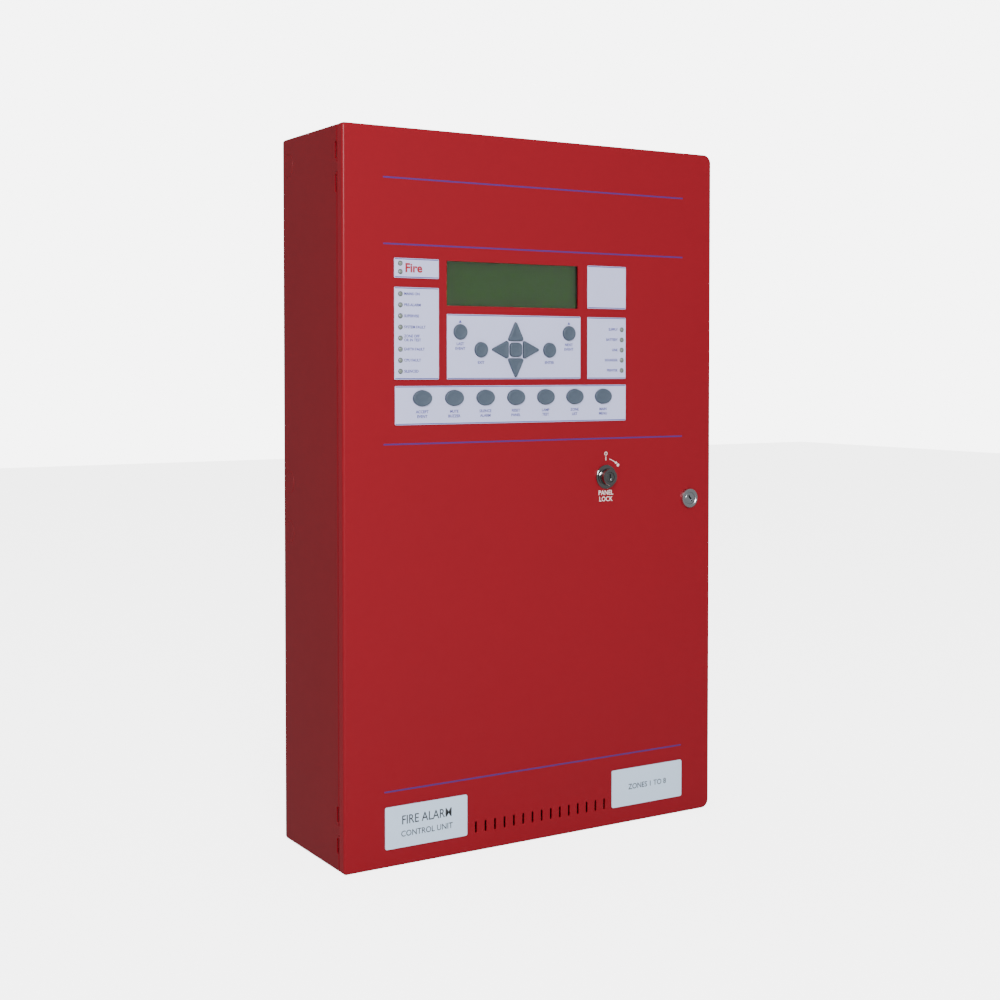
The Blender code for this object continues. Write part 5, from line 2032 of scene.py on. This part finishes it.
    def _build_supply(self) -> None:
        """Builds the power supply's case, its louvres, its screws and its terminal strip."""
        low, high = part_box("power_supply")
        case = Bench.soften(Bench.block("supply_case", low, high), 0.0015, 3)
        louvre = Bench.block("louvre", (0.085, low.y - 0.001, 0.120), (0.173, low.y + 0.0015, 0.122))
        Bench.combine(case, [Bench.copies("louvres", louvre, [(0, 0, i * 0.010) for i in range(8)])])
        Bench.hand_over(case, "cabinet", CASE_METAL, "supply_case", ["power_supply"], 35)
        corners = [(x, z) for x in (low.x + 0.007, high.x - 0.007) for z in (low.z + 0.007, high.z - 0.007)]
        Fastener().fit("supply_screws", "cabinet", corners, low.y)
        plate = Shape(Outline.ROUNDED, (0.129, 0.080), (0.034, 0.021), 0.002)
        sections = [(0, low.y + 0.0001), (0, low.y - 0.0003), (-0.0003, low.y - 0.0004)]
        plate = Bench.stepped("supply_plate", plate, sections)
        Bench.hand_over(plate, "cabinet", LABEL_FILM, "label_white", smooth=30)
        words = Lettering(0.0055).words("supply_words", "24 V DC", (0.129, 0.0775), low.y - 0.0004, "CENTER")
        Bench.hand_over(words, "cabinet", GREY_INK, "label_white", smooth=20)

    def _build_battery(self, node: str) -> None:
        """Builds one sealed battery: ribbed case, lid with its seam, tabs and a plain label."""
        low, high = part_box(node)
        top = high.z - 0.006
        middle = (low.x + high.x) / 2
        lid = top - self.battery_seam
        case = Bench.soften(Bench.block(f"{node}_case", low, (high.x, high.y, lid - 0.0006)), 0.0022, 3)
        ribs = [
            Bench.block(
                "rib", (x - 0.0008, low.y - 0.0005, low.z + 0.006), (x + 0.0008, low.y + 0.0007, lid - 0.006)
            )
            for x in (low.x + 0.012, low.x + 0.018, high.x - 0.018, high.x - 0.012)
        ]
        Bench.combine(case, ribs)
        Bench.hand_over(case, "cabinet", BATTERY_CASE, "battery_case", [node], 35)
        cover = Bench.block(f"{node}_lid", (low.x, low.y, lid), (high.x, high.y, top))
        Bench.pick_faces(cover, Side.TOP)
        bpy.ops.mesh.inset(thickness=0.010, depth=0)
        bpy.ops.mesh.extrude_region_move(TRANSFORM_OT_translate={"value": (0, 0, -0.0025)})
        Bench.put_down()
        Bench.hand_over(Bench.soften(cover, 0.0018, 3), "cabinet", BLACK_PLASTIC, "battery_case", smooth=35)
        tabs = []
        for x in (middle - 0.075, middle + 0.075):
            tab = Bench.block(
                "tab", (x - 0.006, low.y + 0.008, top - 0.004), (x + 0.006, low.y + 0.018, high.z - 0.0004)
            )
            tabs.append(Bench.soften(tab, 0.0010))
        Bench.hand_over(Bench.join(f"{node}_tabs", tabs), "cabinet", ZINC, "zinc_steel")
        shape = Shape(Outline.ROUNDED, (middle, (low.z + lid) / 2), (0.046, 0.034), 0.003)
        label = Bench.stepped(
            f"{node}_label", shape, [(0, low.y + 0.0001), (0, low.y - 0.0002), (-0.0002, low.y - 0.0003)]
        )
        Bench.hand_over(label, "cabinet", LABEL_FILM, "label_white", smooth=30)
        words = Lettering(0.0085).words(
            f"{node}_words", "12 V", (middle, (low.z + lid) / 2 - 0.004), low.y - 0.0003, "CENTER"
        )
        Bench.hand_over(words, "cabinet", GREY_INK, "label_white", smooth=20)

    def _build_leads(self) -> None:
        """Builds the battery leads, and the ribbon and the earth lead that cross the hinge."""
        battery_low, battery_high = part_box("battery_left")
        tab, start = battery_low.y + 0.013, battery_high.z + 0.0005
        positive = (
            (-0.1675, tab, start), (-0.167, tab, start + 0.012), (-0.150, -0.066, -0.153),
            (-0.10, -0.060, -0.150),
        )
        positive += (
            (0.02, -0.048, -0.145), (0.075, -0.044, -0.125), (0.090, -0.042, -0.07), (0.092, -0.042, 0.0193)
        )
        Cable("battery_lead_positive", positive, 0.002, LEAD_RED, "lead_red").build()
        negative = (
            (0.1675, tab, start), (0.167, tab, start + 0.012), (0.158, -0.064, -0.148),
            (0.128, -0.050, -0.115),
        )
        negative += ((0.112, -0.042, -0.06), (0.110, -0.042, 0.0193))
        Cable("battery_lead_negative", negative, 0.002, LEAD_BLACK, "lead_black").build()
        link = (
            (-0.0175, tab, start), (-0.016, tab, start + 0.010), (0, tab, start + 0.016),
            (0.016, tab, start + 0.010),
        )
        Cable("battery_link_lead", (*link, (0.0175, tab, start)), 0.002, LEAD_BLACK, "lead_black").build()
        hinge_y = -0.125
        crossing = ((-0.2107, hinge_y + 0.035), (-0.2107, hinge_y - 0.003))
        earth = (
            (-0.160, -0.0206, -0.060), (-0.160, -0.038, -0.064), (-0.150, -0.066, -0.088),
            (-0.130, -0.095, -0.118),
        )
        earth += (
            (-0.108, -0.112, -0.128), (-0.112, -0.127, -0.118), (-0.138, -0.1335, -0.100),
            (-0.150, -0.1365, -0.090),
        )
        Cable(
            "door_earth_lead", (*earth, (-0.150, -0.1428, -0.088)), 0.0015, LEAD_GREEN, "lead_green"
        ).build(crossing)
        main_low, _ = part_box("main_board")
        _, board_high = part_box("display_board")
        route = (
            (-0.160, main_low.y - 0.0006), (-0.160, -0.058), (-0.142, -0.084), (-0.112, -0.092),
            (-0.096, -0.1015),
        )
        route += ((-0.110, -0.111), (-0.138, -0.114), (-0.150, -0.120), (-0.150, board_high.y + 0.0006))
        Ribbon(route).build(crossing)

    def _build_sounder(self) -> None:
        """Builds the sounder behind the door, with its sound hole."""
        low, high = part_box("sounder")
        centre = middle_of("sounder")
        radius = (high.x - low.x) / 2
        profile = [
            (radius, high.y), (radius, low.y + 0.0012), (radius - 0.0010, low.y), (0.0018, low.y),
            (0.0018, low.y + 0.003),
        ]
        Bench.hand_over(
            Bench.turned("sounder_case", centre, profile), "door", BLACK_PLASTIC, "black_plastic", ["sounder"]
        )

    def _build_fixings(self) -> None:
        """Builds the chassis screws, the screws of the hinges and strike, and the nuts on the earth stud."""
        places = [(x, z) for x in (-0.189, 0.189) for z in (-0.140, 0.295)]
        Fastener(0.0040, 0.0024).fit("chassis_screws", "cabinet", places, self.chassis_front)
        back = DoorSkin.front + DoorSkin.sheet
        for name, body, spot, radius, foot, rise in (
            ("earth_nut", "cabinet", middle_of("earth_stud"), 0.0055, self.chassis_front - 0.0055, -0.0040),
            ("earth_nut_chassis", "cabinet", (-0.160, -0.060), 0.0048, self.chassis_front, -0.0034),
            ("earth_nut_door", "door", (-0.150, -0.088), 0.0048, back, 0.0034),
        ):
            nut = Bench.turned(name, spot, ((radius, foot), (radius, foot + rise)), 6)
            Bench.hand_over(Bench.soften(nut, 0.0004), body, ZINC, "zinc_steel")
        places = [
            (x, sign * 0.310 + z)
            for x in (-0.181, -0.174) for sign in (-1, 1) for z in (-0.009, 0.009)
        ]
        Fastener(0.0026, 0.0014).fit("hinge_arm_rivets", "door", places, back + 0.0032, 1.0)


@dataclass
class Studio:
    """The floor, the soft lights and the camera at the picture's angle."""

    floor_height: float = -0.3502
    eye: tuple[float, float, float] = (-0.8287, -1.4250, 0.1229)
    tilt: float = 88.3
    turn: float = -31.4125
    lens: float = 55.045
    shift: float = -0.086
    ambient: float = 0.48
    reflected: float = 0.26
    backdrop: float = 6.5
    floor_glow: float = 4.2

    def build(self) -> None:
        """Builds the floor, lights, surroundings and camera."""
        Bench.put_down()
        bpy.ops.mesh.primitive_plane_add(size=12, location=(0, 0, self.floor_height))
        floor = Bench.fix_place("studio_floor")
        floor.data.materials.append(self._floor_material())
        floor.visible_glossy = False
        self._light("key_light", (-0.95, -1.95, 0.95), (0.0, -0.1, 0.0), 62.0, 0.9)
        self._light("fill_light", (1.7, -2.6, 0.8), (0.0, -0.1, 0.0), 12.0, 2.4)
        self._light("top_light", (-0.2, 0.4, 2.4), (0.0, 0.0, 0.0), 34.0, 2.4)
        bpy.context.scene.world = self._surround()
        camera = bpy.data.cameras.new("studio_camera")
        camera.lens = self.lens
        camera.shift_y = self.shift
        holder = bpy.data.objects.new("studio_camera", camera)
        holder.location = self.eye
        holder.rotation_euler = (math.radians(self.tilt), 0, math.radians(self.turn))
        bpy.context.scene.collection.objects.link(holder)
        bpy.context.scene.camera = holder

    def _surround(self) -> bpy.types.World:
        """The pale surroundings: bright where seen, softer as light, and softer still in reflections.

        Returns:
            The world.
        """
        world = bpy.data.worlds.new("studio_surround")
        world.use_nodes = True
        tree = world.node_tree
        back = tree.nodes["Background"]
        back.inputs["Color"].default_value = (1.0, 1.0, 1.0, 1.0)
        path = add_node(tree, "LightPath", {}).outputs
        strength = {"Factor": path["Is Glossy Ray"], "A": self.ambient, "B": self.reflected}
        light = add_node(tree, "Mix", strength).outputs["Result"]
        seen = add_node(tree, "Mix", {"Factor": path["Is Camera Ray"], "A": light, "B": self.backdrop})
        tree.links.new(seen.outputs["Result"], back.inputs["Strength"])
        return world

    def _floor_material(self) -> bpy.types.Material:
        """The pale floor's material, lit up a little where it is seen directly.

        Returns:
            The material.
        """
        made = Finish(
            "floor_pale", (0.92, 0.92, 0.92), (0.90, 0.90, 0.90), 0.75, 0.05, specular=0.2, grain=Grain.FILM,
            grain_scale=120.0, bump=0.02, mottle_scale=1.5,
        ).material()
        tree = made.node_tree
        shader = next(node for node in tree.nodes if node.type == "BSDF_PRINCIPLED")
        shader.inputs["Emission Color"].default_value = (1.0, 1.0, 1.0, 1.0)
        seen = add_node(tree, "LightPath", {}).outputs["Is Camera Ray"]
        glow = add_node(tree, "Math", {0: seen, 1: self.floor_glow}, operation="MULTIPLY")
        tree.links.new(glow.outputs[0], shader.inputs["Emission Strength"])
        return made

    @staticmethod
    def _light(name: str, place: Sequence[float], aim: Sequence[float], power: float, size: float) -> None:
        """Adds a soft square light that looks at a point."""
        lamp = bpy.data.lights.new(name, "AREA")
        lamp.energy = power
        lamp.size = size
        holder = bpy.data.objects.new(name, lamp)
        holder.location = place
        holder.rotation_euler = (Vector(aim) - Vector(place)).to_track_quat("-Z", "Y").to_euler()
        holder.visible_glossy = name == "key_light"
        bpy.context.scene.collection.objects.link(holder)


def main() -> None:
    """Builds the panel's looks in order."""
    logging.basicConfig(level=logging.INFO, format="%(name)s: %(message)s")
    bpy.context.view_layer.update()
    Studio().build()
    keypad, lamps, skin = Keypad(), Lamps(), DoorSkin()
    cut = (skin.front - 0.004, skin.front + 0.004)
    lock_holes = [
        Bench.turned(f"{node}_hole", middle_of(node), [(radius, depth) for depth in cut])
        for node, radius in (("lock_body", CamLock.hole), ("key_switch_plug", KeySwitch.hole))
    ]
    skin.build([*keypad.tools(*cut), *lamps.tools(*cut, lamps.places()), *lock_holes])
    CabinetShell().build()
    keypad.build()
    lamps.build()
    Labels(keypad, lamps).build()
    Plates().build()
    CamLock().build()
    KeySwitch().build()
    Display().build()
    Interior().build()
    Bench.put_down()


if __name__ == "__main__":
    main()
